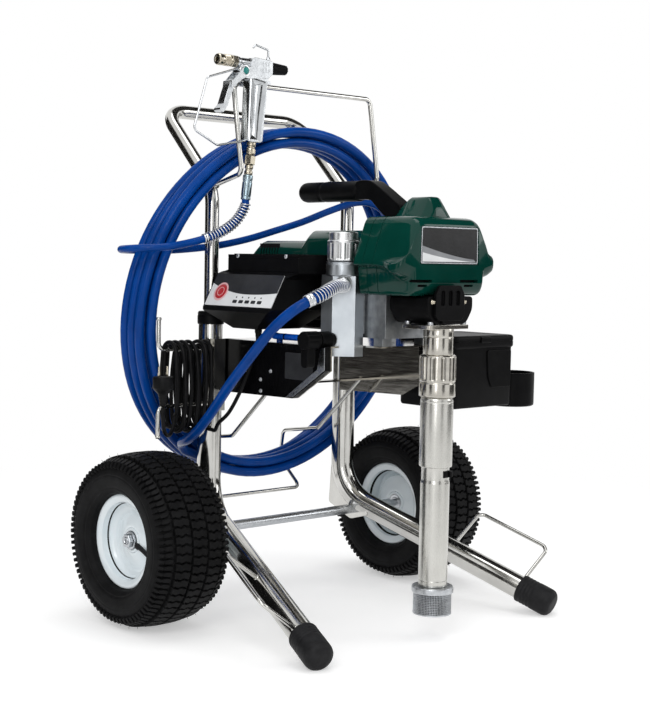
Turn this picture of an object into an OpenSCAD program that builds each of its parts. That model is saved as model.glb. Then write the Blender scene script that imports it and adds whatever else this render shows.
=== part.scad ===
// Airless paint sprayer on a two-wheel hi-cart.
// Millimetres. +Z is up, the legs point towards -Y and the push handle is on the +Y side.
// X = 0 is the middle plane between the wheels and Z = 0 is the floor.

/* [Cart frame] */
// outer diameter of the lower frame tubes
tube_od = 48; // [38:1:54]
// wall of the lower frame tubes
tube_wall = 3; // [2:0.5:4]
// distance of each post from the middle plane
post_x = 184; // [150:1:220]
// distance of the posts behind the axle
post_y = 32; // [25:1:45]
// height where post and leg would meet without the bend
knee_z = 199; // [190:1:215]
// radius of the bend between post and leg
knee_r = 95; // [80:5:110]
// slope of the legs below the horizontal
leg_slope = 19.8; // [16:0.1:22]
// outward splay of the legs
leg_splay = 15.2; // [8:0.1:20]
// slanted length from the knee point to the leg's end
leg_len = 516; // [460:2:540]
// height of the top of the lower tubes
post_top = 580; // [540:1:600]
// slanted length of a foot cap
cap_len = 75; // [60:1:90]

/* [Push handle] */
// outer diameter of the handle tube
grip_od = 28; // [25:1:32]
// height of the handle's cross bar
bar_z = 997; // [940:1:1060]
// how far the handle slides down into the posts
handle_travel = 40; // [0:5:40]
// radius of the bend that leans the handle back
lean_r = 80; // [60:5:100]
// radius of the corners of the cross bar
bar_r = 50; // [40:5:70]
// diameter of the rack's rods
rod_d = 10; // [8:1:12]

/* [Wheels] */
// diameter of a tyre
tyre_d = 330; // [300:5:360]
// width of a tyre
tyre_w = 160; // [120:2:170]
// distance of each wheel's middle from the middle plane
wheel_x = 355; // [330:1:380]
// diameter of the rim over its flanges
rim_d = 179; // [170:1:190]
// width of the rim over its flanges
rim_w = 118; // [100:1:130]
// diameter of the cross axle
axle_d = 20; // [16:1:24]
// diameter of the wheel seats on the axle
seat_d = 15; // [12:1:17]

/* [Pump unit] */
// distance of the pump's upright axis in front of the axle
pump_y = 408; // [380:1:430]
// height of the pump flange
flange_z = 580; // [560:1:600]
// diameter of the upper suction tube
suction_d = 61; // [45:1:65]
// lowest height of the inlet strainer
strainer_z = 47; // [30:1:80]
// height of the motor's axis
motor_z = 628; // [600:1:650]
// diameter of the motor
motor_d = 118; // [100:1:130]
// stroke of the pump rod to each side of its middle
stroke = 12; // [8:1:15]

/* [Hose and cable] */
// diameter of the high pressure hose
hose_d = 19; // [15:0.5:22]
// diameter of the whip hose at the gun
whip_d = 14.5; // [10:0.5:16]
// diameter of the mains cable
cable_d = 7.6; // [6:0.2:9]
// number of loops of mains cable on the hooks
cable_loops = 11.5; // [8.5:1:11.5]

/* [Tool box] */
// width of the tool box
box_w = 180; // [140:5:200]
// depth of the tool box
box_l = 150; // [120:5:180]
// height of the tool box without its lid
box_h = 133; // [100:1:150]
// inside diameter of the cup holder
cup_d = 92; // [80:1:100]

/* [Spray gun] */
// distance of the gun's middle plane in front of the axle
gun_y = 53; // [50:1:60]
// diameter of the gun's nozzle thread
nozzle_d = 22.2; // [20:0.1:24]

/* [Hidden] */
$fn = 48;
tube_r = tube_od / 2;
grip_r = grip_od / 2;
rod_r = rod_d / 2;
tyre_r = tyre_d / 2;
axle_z = tyre_r;
knee_turn = 90 - leg_slope;
knee_tan = knee_r * tan(knee_turn / 2);
cap_r = tube_r + 4;
fit = 0.05;
lean = 45;
lean_tan = lean_r * tan(lean / 2);
lean_z = 835;
slope_len = (bar_z - lean_z) * sqrt(2);
bar_y = post_y + bar_z - lean_z;
hub_half = 39;
bearing_d = 35;
bearing_w = 11;
cheek_x = 160;
deck_z = 534;
panel_tilt = 28.7;
key_count = 5;
manifold = [-102, -258];
hose_r = hose_d / 2;
whip_r = whip_d / 2;
cable_r = cable_d / 2;
gun_z = 1066;
box_x = 165;
box_y = -300;
box_z = 407;
hinge_y = box_y + box_l + 5;
cup_at = [396, -252];
rack_y = -29;
rack_z = 1034;
// hose coil: middle, shell radii, axial spacing and the lean of its plane
coil_z = 602;
coil_out = 351;
coil_in = 330;
coil_pitch = 23.3;
coil_climb = 150;
coil_turns = 2.9;
coil_lean = 0.186;
coil_start = -120;

// ---- vectors, tubes and rods -------------------------------------------------

function unit(v) = v / norm(v);
function lerp(a, b, t) = a + (b - a) * t;
// half of the length a bend takes from each side of its corner
function trim(p, i, r) =
    (i <= 0 || i >= len(p) - 1) ? 0
    : r * tan(acos(unit(p[i] - p[i - 1]) * unit(p[i + 1] - p[i])) / 2);
function rad(r, i) = is_list(r) ? r[i] : r;

// one straight piece, hollow when ri is above zero
module bar(a, b, r, ri = 0) {
    d = b - a;
    long = norm(d);
    translate(a)
        rotate([0, acos(d[2] / long), atan2(d[1], d[0])])
            difference() {
                cylinder(r = r, h = long);
                if (ri > 0)
                    translate([0, 0, -1]) cylinder(r = ri, h = long + 2);
            }
}

// bends are this much thinner than the straights, so that their end faces nest
bend_ease = 0.04;
// one bend at the corner b between a and c
module elbow(a, b, c, big, r, ri = 0) {
    u = unit(b - a);
    v = unit(c - b);
    turn = acos(u * v);
    start = b - u * big * tan(turn / 2);
    n = unit(cross(u, v));
    left = cross(n, u);
    mid = start + left * big;
    multmatrix([
        [-left[0], u[0], n[0], mid[0]],
        [-left[1], u[1], n[1], mid[1]],
        [-left[2], u[2], n[2], mid[2]],
        [0, 0, 0, 1]
    ])
        rotate_extrude(angle = turn)
            translate([big, 0])
                difference() {
                    circle(r = r - bend_ease);
                    if (ri > 0)
                        circle(r = ri + bend_ease);
                }
}

// a rod or tube along corner points, bent to the radii in big
module bent(p, big, r, ri = 0) {
    for (i = [0 : len(p) - 2]) {
        u = unit(p[i + 1] - p[i]);
        bar(p[i] + u * trim(p, i, rad(big, i)), p[i + 1] - u * trim(p, i + 1, rad(big, i + 1)), r, ri);
    }
    if (len(p) > 2)
        for (i = [1 : len(p) - 2])
            elbow(p[i - 1], p[i], p[i + 1], rad(big, i), r, ri);
}

// ---- swept hoses, cables and springs -----------------------------------------

// smooth curve through points, k steps between each pair
function curve(p, k) = concat(
    [for (i = [0 : len(p) - 2]) for (j = [0 : k - 1]) catmull(p, i, j / k)],
    [p[len(p) - 1]]
);
function at(p, i) =
    i < 0 ? 2 * p[0] - p[1] : i > len(p) - 1 ? 2 * p[len(p) - 1] - p[len(p) - 2] : p[i];
function catmull(p, i, t) =
    let (a = at(p, i - 1), b = at(p, i), c = at(p, i + 1), d = at(p, i + 2))
    0.5 * (2 * b + (c - a) * t + (2 * a - 5 * b + 4 * c - d) * t * t
        + (3 * b - a - 3 * c + d) * t * t * t);
function heading(p, i) =
    i == 0 ? unit(p[1] - p[0])
    : i == len(p) - 1 ? unit(p[i] - p[i - 1])
    : unit(unit(p[i + 1] - p[i]) + unit(p[i] - p[i - 1]));
// side vectors carried along the path without twist
function side_next(s, h) = unit(s - h * (s * h));
function sides(p, s0) = [
    for (i = 0, s = side_next(s0, heading(p, 0)); i < len(p);
        i = i + 1, s = i < len(p) ? side_next(s, heading(p, i)) : s) s
];
function ring(c, h, s, r, n) =
    let (w = cross(h, s)) [for (k = [0 : n - 1]) c + r * (cos(360 * k / n) * s + sin(360 * k / n) * w)];
function pairs(a, b, n) = [for (k = [0 : n - 1]) [a + k, a + (k + 1) % n, b + (k + 1) % n, b + k]];
// a solid swept along p; the rings are widened so that their area matches the round section
module swept(p, r, n, s0 = [0, 0, 1]) {
    m = len(p);
    s = sides(p, s0);
    rr = r * sqrt(2 * PI / n / sin(360 / n));
    pts = [for (i = [0 : m - 1]) each ring(p[i], heading(p, i), s[i], rr, n)];
    walls = [for (i = [0 : m - 2]) each pairs((i + 1) * n, i * n, n)];
    ends = [[for (k = [0 : n - 1]) k], [for (k = [n - 1 : -1 : 0]) (m - 1) * n + k]];
    polyhedron(points = pts, faces = concat(walls, ends));
}

// least distance between stretches of a path that are more than w steps apart
function least_gap(p, w, r) =
    min([for (i = [0 : len(p) - w - 1]) min([for (j = [i + w : len(p) - 1]) norm(p[i] - p[j])])]) - 2 * r;

// ---- cart frame ----------------------------------------------------------------

// points along a leg's axis; side is -1 left and 1 right, q is the slanted length from the knee
function leg_dir(side) = [
    side * sin(leg_splay) * cos(leg_slope), -cos(leg_splay) * cos(leg_slope), -sin(leg_slope)
];
function leg_at(side, q) = [side * post_x, post_y, knee_z] + q * leg_dir(side);
function leg_out(side) = [side * cos(leg_splay), sin(leg_splay), 0];
function leg_up(side) = side * cross(leg_dir(side), leg_out(side));
function tube_line(side) = [
    [side * post_x, post_y, post_top - 6], [side * post_x, post_y, knee_z], leg_at(side, leg_len)
];

module tube_shape(side, r, ri = 0) {
    bent(tube_line(side), knee_r, r, ri);
}

module frame_tubes() {
    color("#c9ccd0")
        for (side = [-1, 1]) {
            difference() {
                tube_shape(side, tube_r, tube_r - tube_wall);
                bar([side * 150, 0, axle_z], [side * 230, 0, axle_z], axle_d / 2);
            }
            // inner ring that stops the lowered handle tube
            translate([side * post_x, post_y, 340 - handle_travel])
                difference() {
                    cylinder(r = tube_r - tube_wall, h = 10);
                    translate([0, 0, -1]) cylinder(r = grip_r - 2, h = 12);
                }
        }
}

module foot_caps() {
    q0 = leg_len + 10 - cap_len;
    color("#1b1b1d")
        for (side = [-1, 1])
            difference() {
                translate(leg_at(side, q0))
                    rotate([0, 90 + leg_slope, side > 0 ? leg_splay - 90 : -90 - leg_splay])
                        rotate_extrude()
                            difference() {
                                union() {
                                    square([cap_r, cap_len - 14]);
                                    square([cap_r - 14, cap_len]);
                                    translate([cap_r - 14, cap_len - 14]) circle(r = 14);
                                }
                                square([tube_r, leg_len - q0]);
                                translate([-40, -40]) square([40, 200]);
                            }
                translate([side * 320 - 100, -560, -60]) cube([200, 220, 60]);
            }
}

module leg_rails() {
    color("#c9ccd0")
        for (side = [-1, 1]) {
            off = 90 * leg_out(side) + 71 * leg_up(side);
            a = leg_at(side, 280);
            b = leg_at(side, 446);
            difference() {
                bent([a, a + off, b + off, b], 16, 4);
                bar(leg_at(side, 200), leg_at(side, 480), tube_r);
            }
        }
}

module axle() {
    seat = 298;
    color("#b9bcc0")
        translate([0, 0, axle_z])
            rotate([0, 90, 0]) {
                translate([0, 0, -seat]) cylinder(d = axle_d, h = 2 * seat);
                for (side = [-1, 1])
                    mirror([0, 0, side > 0 ? 0 : 1]) {
                        translate([0, 0, seat]) cylinder(d = seat_d, h = wheel_x + 62 - seat);
                        // washer and nut that hold the wheel
                        translate([0, 0, wheel_x + hub_half + 0.6])
                            difference() {
                                cylinder(d = 28, h = 2.4);
                                translate([0, 0, -1]) cylinder(d = seat_d, h = 5);
                            }
                        translate([0, 0, wheel_x + hub_half + 3])
                            difference() {
                                cylinder(d = 27, h = 12, $fn = 6);
                                translate([0, 0, -1]) cylinder(d = seat_d, h = 15);
                            }
                    }
            }
}

module axle_brackets() {
    color("#c9ccd0")
        for (side = [-1, 1])
            difference() {
                translate([side * post_x - 3, 0, 0])
                    rotate([90, 0, 90])
                        linear_extrude(height = 6)
                            hull() {
                                translate([0, axle_z]) circle(r = 21);
                                translate([62, 176]) circle(r = 8);
                                translate([58, 256]) circle(r = 6);
                                translate([30, 262]) circle(r = 4);
                                translate([-44, 162]) circle(r = 6);
                                translate([-30, 186]) circle(r = 4);
                            }
                tube_shape(side, tube_r);
                bar([side * 150, 0, axle_z], [side * 230, 0, axle_z], axle_d / 2);
            }
}

module tube_collars() {
    bore = grip_r + fit;
    sleeve = tube_r - tube_wall - fit;
    top = post_top - 6;
    color("#1b1b1d")
        for (side = [-1, 1])
            translate([side * post_x, post_y, 0])
                rotate_extrude()
                    polygon([
                        [bore, 500], [sleeve, 500], [sleeve, top], [tube_r, top], [tube_r, top - 6],
                        [tube_r + 2, top - 6], [tube_r + 2, top + 16], [tube_r, top + 20], [bore, top + 20]
                    ]);
}

// ---- wheels --------------------------------------------------------------------

// places a wheel drawn about +Z (outboard side up) on one end of the axle
module on_hub(side) {
    translate([side * wheel_x, 0, axle_z])
        rotate([0, side * 90, 0])
            children();
}

module tyre(side) {
    half = tyre_w / 2;
    bead = rim_w / 2 - 8;
    color("#191a1b")
        on_hub(side)
            rotate_extrude($fn = 72)
                difference() {
                    union() {
                        polygon([
                            [76.5, -bead], [88, -bead - 1], [92, -half + 12], [106, -half + 2],
                            [122, -half], [140, -half + 4], [152, -half + 14], [159, -half + 27],
                            [163.5, -half + 42], [tyre_r, -18], [tyre_r, 18], [163.5, half - 42],
                            [159, half - 27], [152, half - 14], [140, half - 4], [122, half],
                            [106, half - 2], [92, half - 12], [88, bead + 1], [76.5, bead]
                        ]);
                    }
                    polygon([
                        [70, -bead + 10], [90, -bead + 8], [98, -half + 16], [120, -half + 9],
                        [139, -half + 16], [150, -half + 34], [154, -18], [154, 18], [150, half - 34],
                        [139, half - 16], [120, half - 9], [98, half - 16], [90, bead - 8], [70, bead - 10]
                    ]);
                }
}

module rim(side) {
    h = rim_w / 2;
    o = bearing_d / 2;
    color("#dfe6ea")
        on_hub(side) {
            // two dished half shells and their flanges
            rotate_extrude($fn = 72)
                polygon([
                    [76, -h + 5], [76, -8], [60, 0], [60, h - 34], [46, h - 26], [24, h - 22],
                    [24, h - 25.5], [45, h - 29.5], [57, h - 36.5], [57, -h + 36.5], [45, -h + 29.5],
                    [24, -h + 25.5], [24, -h + 22], [46, -h + 26], [60, -h + 34], [60, -12],
                    [73, -17], [73, -h + 3], [84, -h], [88, -h + 1], [rim_d / 2, -h + 4],
                    [rim_d / 2 - 1.5, -h + 6.5], [86, -h + 4]
                ]);
            rotate_extrude($fn = 72)
                polygon([
                    [76, h - 5], [76, -8], [73, -6.7], [73, h - 3], [84, h], [88, h - 1],
                    [rim_d / 2, h - 4], [rim_d / 2 - 1.5, h - 6.5], [86, h - 4]
                ]);
            // hub barrel with a seat for each bearing
            rotate_extrude()
                polygon([
                    [o - 3, -hub_half + bearing_w], [o, -hub_half + bearing_w], [o, -hub_half],
                    [24, -hub_half], [24, hub_half], [o, hub_half], [o, hub_half - bearing_w],
                    [o - 3, hub_half - bearing_w]
                ]);
            // valve stem
            translate([52, 0, h - 30]) rotate([0, 24, 0]) cylinder(d = 8, h = 22);
        }
}

module bearings(side) {
    color("#a8abb0")
        on_hub(side)
            for (end = [-1, 1])
                translate([0, 0, end > 0 ? hub_half - bearing_w : -hub_half])
                    difference() {
                        cylinder(d = bearing_d, h = bearing_w);
                        translate([0, 0, -1]) cylinder(d = seat_d + 2 * fit, h = bearing_w + 2);
                    }
}
module tyre_left() {
    tyre(-1);
}
module rim_left() {
    rim(-1);
}
module bearings_left() {
    bearings(-1);
}
module tyre_right() {
    tyre(1);
}
module rim_right() {
    rim(1);
}
module bearings_right() {
    bearings(1);
}

// ---- push handle ---------------------------------------------------------------

function handle_line() = [
    [-post_x, post_y, 350], [-post_x, post_y, lean_z], [-post_x, bar_y, bar_z],
    [post_x, bar_y, bar_z], [post_x, post_y, lean_z], [post_x, post_y, 350]
];
handle_bends = [0, lean_r, bar_r, bar_r, lean_r, 0];

module handle_tube() {
    color("#c9ccd0")
        bent(handle_line(), handle_bends, grip_r, grip_r - 2);
}

module handle_glides() {
    color("#26282a")
        for (side = [-1, 1])
            translate([side * post_x, post_y, 352])
                difference() {
                    cylinder(r = tube_r - tube_wall - 0.3, h = 20);
                    translate([0, 0, -1]) cylinder(r = grip_r, h = 22);
                }
}

module hose_rack() {
    color("#c9ccd0")
        difference() {
            bent([
                [-post_x, post_y, 838], [-post_x, -57, 861], [-post_x, rack_y, rack_z],
                [post_x, rack_y, rack_z], [post_x, -57, 861], [post_x, post_y, 838]
            ], 14, rod_r);
            bent(handle_line(), handle_bends, grip_r);
        }
}

// ---- hooks, cradle and chassis -------------------------------------------------

module cable_hooks() {
    color("#c9ccd0")
        difference() {
            union() {
                translate([-post_x - 14, 2, 398]) cube([28, 12, 142]);
                bent([[-post_x + 4, 2, 523], [-333, 2, 523], [-333, 2, 584]], 14, 4);
                bent([[-post_x + 4, 2, 414], [-333, 2, 414], [-333, 2, 354]], 14, 4);
            }
            bar([-post_x, post_y, 380], [-post_x, post_y, 560], tube_r);
            translate([-post_x - 20, 8, 435]) cube([60, 5, 106]);
        }
}

module hose_cradle() {
    color("#c9ccd0")
        difference() {
            bent([
                [-118, -88, 457], [-118, 40, 340], [-118, 152, 324], [-118, 162, 262], [-118, 95, 206],
                [118, 95, 206], [118, 162, 262], [118, 152, 324], [118, 40, 340], [118, -88, 457]
            ], 16, 4);
            translate([-150, -100, 453]) cube([300, 24, 10]);
        }
}

function cheek_left_side() = [[8, 540], [-282, 540], [-283, 495], [-194, 438], [8, 435]];
function cheek_right_side() = [[8, 540], [-75, 540], [-219, 540], [-223, 451], [-177, 427], [8, 423]];

// a flat plate of thickness t with its outline in Y and Z, its left face at x
module side_plate(x, t, outline) {
    translate([x, 0, 0])
        rotate([90, 0, 90])
            linear_extrude(height = t)
                polygon(outline);
}

module valve_space() {
    bar([-220, -260, 551], [-128, -260, 551], 17);
}

module chassis_sheet() {
    color("#b4b7ba")
        difference() {
            union() {
                // deck with a corner cut away for the manifold
                translate([0, 0, deck_z + 3])
                    linear_extrude(height = 3)
                        polygon([
                            [-152, 8], [-152, -282], [-132, -282], [-132, -222], [-72, -222],
                            [-72, -330], [72, -330], [72, -282], [152, -219], [152, 8]
                        ]);
                side_plate(-152, 3, cheek_left_side());
                side_plate(149, 3, cheek_right_side());
                translate([-149, -100, 453]) cube([298, 24, 4]);
                // ears clamped to the posts
                translate([-post_x - 24, 8, 436]) cube([post_x - 128, 4, 104]);
                translate([152, 8, 424]) cube([post_x - 128, 4, 116]);
                translate([post_x, 8, 437]) rotate([90, 0, 0]) cylinder(d = 22, h = 2);
                translate([post_x, 6, 437]) rotate([90, 0, 0]) cylinder(d = 15, h = 8, $fn = 6);
                // bolts through the cheek and the deck
                for (spot = [[-202, 458], [-120, 486], [-40, 486]])
                    translate([152, spot[0], spot[1]]) rotate([0, 90, 0]) cylinder(d = 13, h = 7);
            }
            for (side = [-1, 1])
                bar([side * post_x, post_y, 380], [side * post_x, post_y, 560], tube_r);
            valve_space();
            // hole for the drain hose
            translate([-128, -112, 520]) cylinder(d = 10.6, h = 40);
        }
}

module electrical_box() {
    color("#1d1e20")
        difference() {
            side_plate(-166, 14, cheek_left_side());
            side_plate(-163.5, 11.5, [[4, 536], [-278, 536], [-279, 497], [-192, 442], [4, 439]]);
            valve_space();
            translate([-post_x - 20, 2, 420]) cube([60, 20, 140]);
            bar([-post_x, post_y, 380], [-post_x, post_y, 560], tube_r + 0.3);
        }
    color("#8f9296")
        for (spot = [[-61, 483], [-131, 485], [-102, 467], [-103, 445]])
            translate([-166, spot[0], spot[1]]) rotate([0, -90, 0]) cylinder(d = 9, h = 3);
}

// ---- motor, gearbox and drive --------------------------------------------------

// sideways place of the cover under the hood
cover_x = -8;
gear_z = 676;
gear_r = 45;
pinion_r = 8.6;

module motor_housing() {
    color("#232426")
        translate([0, 0, motor_z - 6])
            rotate([90, 0, 0]) {
                // Drawn along -Y from the rear bell at Y = 40
                difference() {
                    translate([0, 0, -40]) cylinder(d = motor_d, h = 232);
                    translate([0, 0, -34]) cylinder(d = motor_d - 10, h = 220);
                    translate([0, 0, -50]) cylinder(d = 22.1, h = 260);
                    // cooling slots in the rear bell
                    for (a = [0 : 30 : 330])
                        rotate([0, 0, a])
                            translate([26, -4, -50]) cube([20, 8, 20]);
                }
            }
}

module motor_rotor() {
    z0 = motor_z - 6;
    color("#9a5a32") {
        bar([0, 8, z0], [0, -160, z0], 34);
        bar([0, 36, z0], [0, 8, z0], 11 - 0.01);
        bar([0, -160, z0], [0, -196, z0], 11 - 0.01);
        bar([0, -196, z0], [0, -208, z0], 7);
    }
    color("#8f9296")
        translate([0, -208, z0]) rotate([90, 0, 0]) gear(12, 1.5, 26);
}

// a spur gear of n teeth and module m; the teeth are narrow so that they never touch
module gear(n, m, h) {
    r = n * m / 2;
    linear_extrude(height = h)
        union() {
            circle(r = r - 1.5);
            for (i = [0 : n - 1])
                rotate(360 * i / n)
                    polygon([[0, -m * 0.5], [r + m * 0.55, -m * 0.2], [r + m * 0.55, m * 0.2], [0, m * 0.5]]);
        }
}

module gearbox_housing() {
    color("#a9acae")
        difference() {
            union() {
                translate([-70, -340, 555]) cube([140, 140, 180]);
                // feet on the deck and a pad for the manifold
                for (x = [-66, 42]) for (y = [-236, -330])
                    translate([x, y, 540]) cube([24, 24, 15]);
                translate([-76, -284, 562]) cube([8, 50, 100]);
            }
            translate([-64, -334, 561]) cube([128, 128, 168]);
            bar([0, -190, motor_z - 6], [0, -210, motor_z - 6], 13);
            // bearings of the crank shaft
            bar([0, -190, gear_z], [0, -350, gear_z], 10 + fit);
        }
}

module crank_gear() {
    color("#8f9296") {
        bar([0, -206, gear_z], [0, -375, gear_z], 10);
        translate([0, -210, gear_z]) rotate([90, 0, 0]) rotate(3) gear(60, 1.5, 22);
        bar([0, -375, gear_z], [0, -387, gear_z], 25);
        bar([stroke, -387, gear_z], [stroke, -394, gear_z], 6);
    }
}

module pump_rod() {
    color("#d6d8da") {
        translate([0, -pump_y, 0]) {
            translate([0, 0, 478]) cylinder(r = 20 - fit, h = 24);
            translate([0, 0, 502]) cylinder(r = 11, h = gear_z - 14 - 502);
        }
        // yoke with a level slot for the crank
        difference() {
            translate([-32, -pump_y - 12, gear_z - 14]) cube([64, 24, 28]);
            translate([-20, -pump_y - 13, gear_z - 7]) cube([40, 26, 14]);
        }
    }
}

module drive_housing() {
    color("#151618")
        difference() {
            translate([0, -340, 0])
                rotate([90, 0, 0])
                    linear_extrude(height = 96)
                        polygon([
                            [-60, 636], [-60, 612], [-46, 590], [-36, 585], [36, 585], [46, 590],
                            [60, 612], [60, 636]
                        ]);
            translate([-54, -430, 612]) cube([108, 84, 40]);
            translate([0, -pump_y, 570]) cylinder(r = 12, h = 80);
        }
}

module slotted_cover() {
    color("#151618")
        difference() {
            translate([cover_x, -436, 0])
                rotate([90, 0, 0])
                    linear_extrude(height = 7)
                        polygon([
                            [-38, 600], [-38, 640], [-28, 656], [28, 656], [38, 640], [38, 600],
                            [30, 592], [-30, 592]
                        ]);
            for (x = [-20, 0, 20])
                translate([cover_x + x - 5, -450, 622]) cube([10, 20, 24]);
        }
    color("#c9a060")
        for (x = [-42, 42])
            bar([cover_x + x, -436, 626], [cover_x + x, -441, 626], 4);
}

module hood_front_body(t = 0) {
    // body and flared wings; t shrinks it to make the inside
    intersection() {
        translate([0, -296 - t, 0])
            rotate([90, 0, 0])
                linear_extrude(height = 136 - 2 * t)
                    offset(delta = -t)
                        polygon([
                            [-82, 780], [82, 780], [104, 722], [112, 700], [128, 692], [128, 674],
                            [110, 670], [96, 664], [95, 636], [-95, 636], [-96, 664], [-110, 670],
                            [-128, 674], [-128, 692], [-112, 700], [-104, 722]
                        ]);
        translate([0, 0, 600])
            linear_extrude(height = 200)
                offset(delta = -t)
                    polygon([
                        [-104, -290], [104, -290], [106, -350], [128, -408], [128, -420], [118, -432],
                        [-118, -432], [-128, -420], [-128, -408], [-106, -350]
                    ]);
        side_plate(-140, 280, [[-290, 636], [-290, 780], [-412, 780], [-432, 760], [-432, 672], [-426, 636]]);
    }
}

module hood_front() {
    color("#0e4a3f")
        difference() {
            union() {
                hood_front_body();
                // raised spine on top
                intersection() {
                    translate([0, -322, 0])
                        rotate([90, 0, 0])
                            linear_extrude(height = 84)
                                polygon([[-36, 776], [36, 776], [12, 817], [-12, 817]]);
                    side_plate(-60, 120, [[-322, 776], [-322, 806], [-340, 817], [-390, 817], [-406, 776]]);
                }
            }
            difference() {
                hood_front_body(3);
                translate([-140, -440, 600]) cube([280, 160, 42]);
            }
            translate([-92, -426, 630]) cube([184, 136, 12]);
            // the rear edge is open and clears the manifold
            translate([-70.3, -300, 630]) cube([140.6, 20, 106]);
            translate([-140, -299, 630]) cube([64, 20, 130]);
            // slots in the chin
            for (side = [-1, 1]) {
                translate([side * 48 - 20, -440, 656]) cube([40, 20, 5]);
                translate([side * 42 - 14, -440, 646]) cube([28, 20, 4]);
            }
        }
}

module hood_rear_body(t = 0) {
    intersection() {
        translate([0, 50 - t, 0])
            rotate([90, 0, 0])
                linear_extrude(height = 345 - 2 * t)
                    offset(delta = -t)
                        polygon([[-70, 697], [-70, 738], [-54, 755], [54, 755], [70, 738], [70, 697]]);
        side_plate(-80 + t, 160 - 2 * t, [
            [50 - t, 690], [50 - t, 712], [28 - t, 735 - t], [-100, 735 - t], [-120, 755 - t],
            [-295 + t, 755 - t], [-295 + t, 690]
        ]);
    }
}

module hood_rear() {
    color("#0e4a3f")
        difference() {
            hood_rear_body();
            hood_rear_body(3);
            translate([-67, -292, 690]) cube([134, 339, 14]);
            translate([-70.3, -340.3, 690]) cube([140.6, 140.6, 45.3]);
            // vents in both sides
            for (side = [-1, 1]) for (y = [-30 : 9 : 15])
                translate([side * 70 - 6, y, 708]) cube([12, 4, 20]);
        }
}

module badge_plate() {
    color("#2a2b2d")
        translate([-75, -433.6, 696]) cube([150, 1.6, 62]);
}

module carry_handle() {
    color("#161718") {
        translate([0, -215, 832]) rotate([-90, 0, 0]) cylinder(r = 20, h = 165);
        translate([0, -50, 832]) sphere(r = 20);
        difference() {
            side_plate(-17, 34, [
                [-205, 812], [-205, 852], [-236, 852], [-321.7, 800], [-321.7, 780], [-288, 780], [-240, 820]
            ]);
            translate([0, -216, 832]) rotate([-90, 0, 0]) cylinder(r = 12, h = 40);
        }
    }
}

// ---- paint pump ----------------------------------------------------------------

module pump_cylinder() {
    color("#b9bcc0")
        translate([0, -pump_y, 0])
            difference() {
                union() {
                    translate([0, 0, flange_z - 3]) cylinder(d = 56, h = 8);
                    translate([-54, -28, flange_z - 4]) cube([108, 74, 8]);
                    translate([0, 0, 529]) cylinder(d = 56, h = 50);
                    translate([0, 0, 451]) cylinder(d = 68, h = 78);
                }
                translate([0, 0, 560]) cylinder(r = 11 + fit, h = 40);
                translate([0, 0, 440]) cylinder(r = 20, h = 122);
                // grooves of the coupling nut
                for (a = [0 : 30 : 330])
                    rotate([0, 0, a])
                        translate([34, 0, 500]) cylinder(r = 2, h = 30, $fn = 12);
            }
}

module suction_tube() {
    d = suction_d;
    color("#c3c6ca")
        translate([0, -pump_y, 0])
            rotate_extrude()
                polygon([
                    [22, 99], [d / 2 - 3.5, 99], [d / 2 - 3.5, 296], [26, 297], [26, 321], [d / 2, 322],
                    [d / 2, 445], [d / 2 - 3, 451], [22, 451]
                ]);
}

module inlet_strainer() {
    color("#a8abb0")
        translate([0, -pump_y, 0])
            difference() {
                union() {
                    translate([0, 0, 87]) cylinder(d = 78, h = 12);
                    translate([0, 0, strainer_z]) cylinder(d = 72, h = 40);
                }
                translate([0, 0, strainer_z + 2]) cylinder(d = 66, h = 38);
                translate([0, 0, 80]) cylinder(d = 44, h = 30);
                // inlet openings round the basket
                for (a = [0 : 30 : 330])
                    rotate([0, 0, a])
                        translate([30, -5, strainer_z + 8]) cube([10, 10, 26]);
            }
}

// ---- manifold, prime valve and controls ----------------------------------------

module manifold_block() {
    color("#b4b8bc")
        difference() {
            union() {
                translate([0, 0, 520])
                    linear_extrude(height = 151)
                        polygon([
                            [-76, -228], [-76, -288], [-98, -288], [-128, -258], [-128, -228]
                        ]);
                translate([manifold[0], manifold[1], 671]) cylinder(d = 64, h = 24);
            }
            // filter chamber and the bores of the outlet and the prime valve
            translate([manifold[0], manifold[1], 540]) cylinder(d = 40, h = 200);
            translate(outlet_at - 30 * outlet_dir)
                rotate([0, acos(outlet_dir[2]), atan2(outlet_dir[1], outlet_dir[0])])
                    cylinder(d = 14, h = 40);
            bar([-130, -260, 551], [-100, -260, 551], 7);
        }
}

module filter_cap() {
    color("#c3c6ca")
        translate([manifold[0], manifold[1], 0])
            difference() {
                union() {
                    translate([0, 0, 697]) cylinder(d = 60, h = 38);
                    translate([0, 0, 735]) cylinder(d = 54, h = 15);
                    translate([0, 0, 675]) cylinder(d = 39.9, h = 22);
                    translate([0, 0, 695]) cylinder(d = 52, h = 3);
                }
                for (a = [0 : 30 : 330])
                    rotate([0, 0, a])
                        translate([30.5, 0, 701]) cylinder(r = 3, h = 28, $fn = 12);
                // wrench recess in the top
                translate([0, 0, 742]) cylinder(d = 19, h = 10, $fn = 6);
            }
}

module filter_element() {
    color("#d8dadc")
        translate([manifold[0], manifold[1], 0])
            difference() {
                translate([0, 0, 540]) cylinder(d = 28, h = 135);
                translate([0, 0, 545]) cylinder(d = 22, h = 125);
                for (z = [556 : 24 : 652]) for (a = [0 : 60 : 300])
                    rotate([0, 0, a])
                        translate([8, -4, z]) cube([10, 8, 14]);
            }
}

module prime_valve() {
    color("#17181a")
        difference() {
            bar([-164, -260, 551], [-128, -260, 551], 16);
            bar([-165, -260, 551], [-150, -260, 551], 5 + fit);
        }
    color("#a8abb0")
        difference() {
            bar([-146, -225, 551], [-146, -260, 551], 7.5);
            bar([-164, -260, 551], [-128, -260, 551], 16);
        }
}

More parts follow.
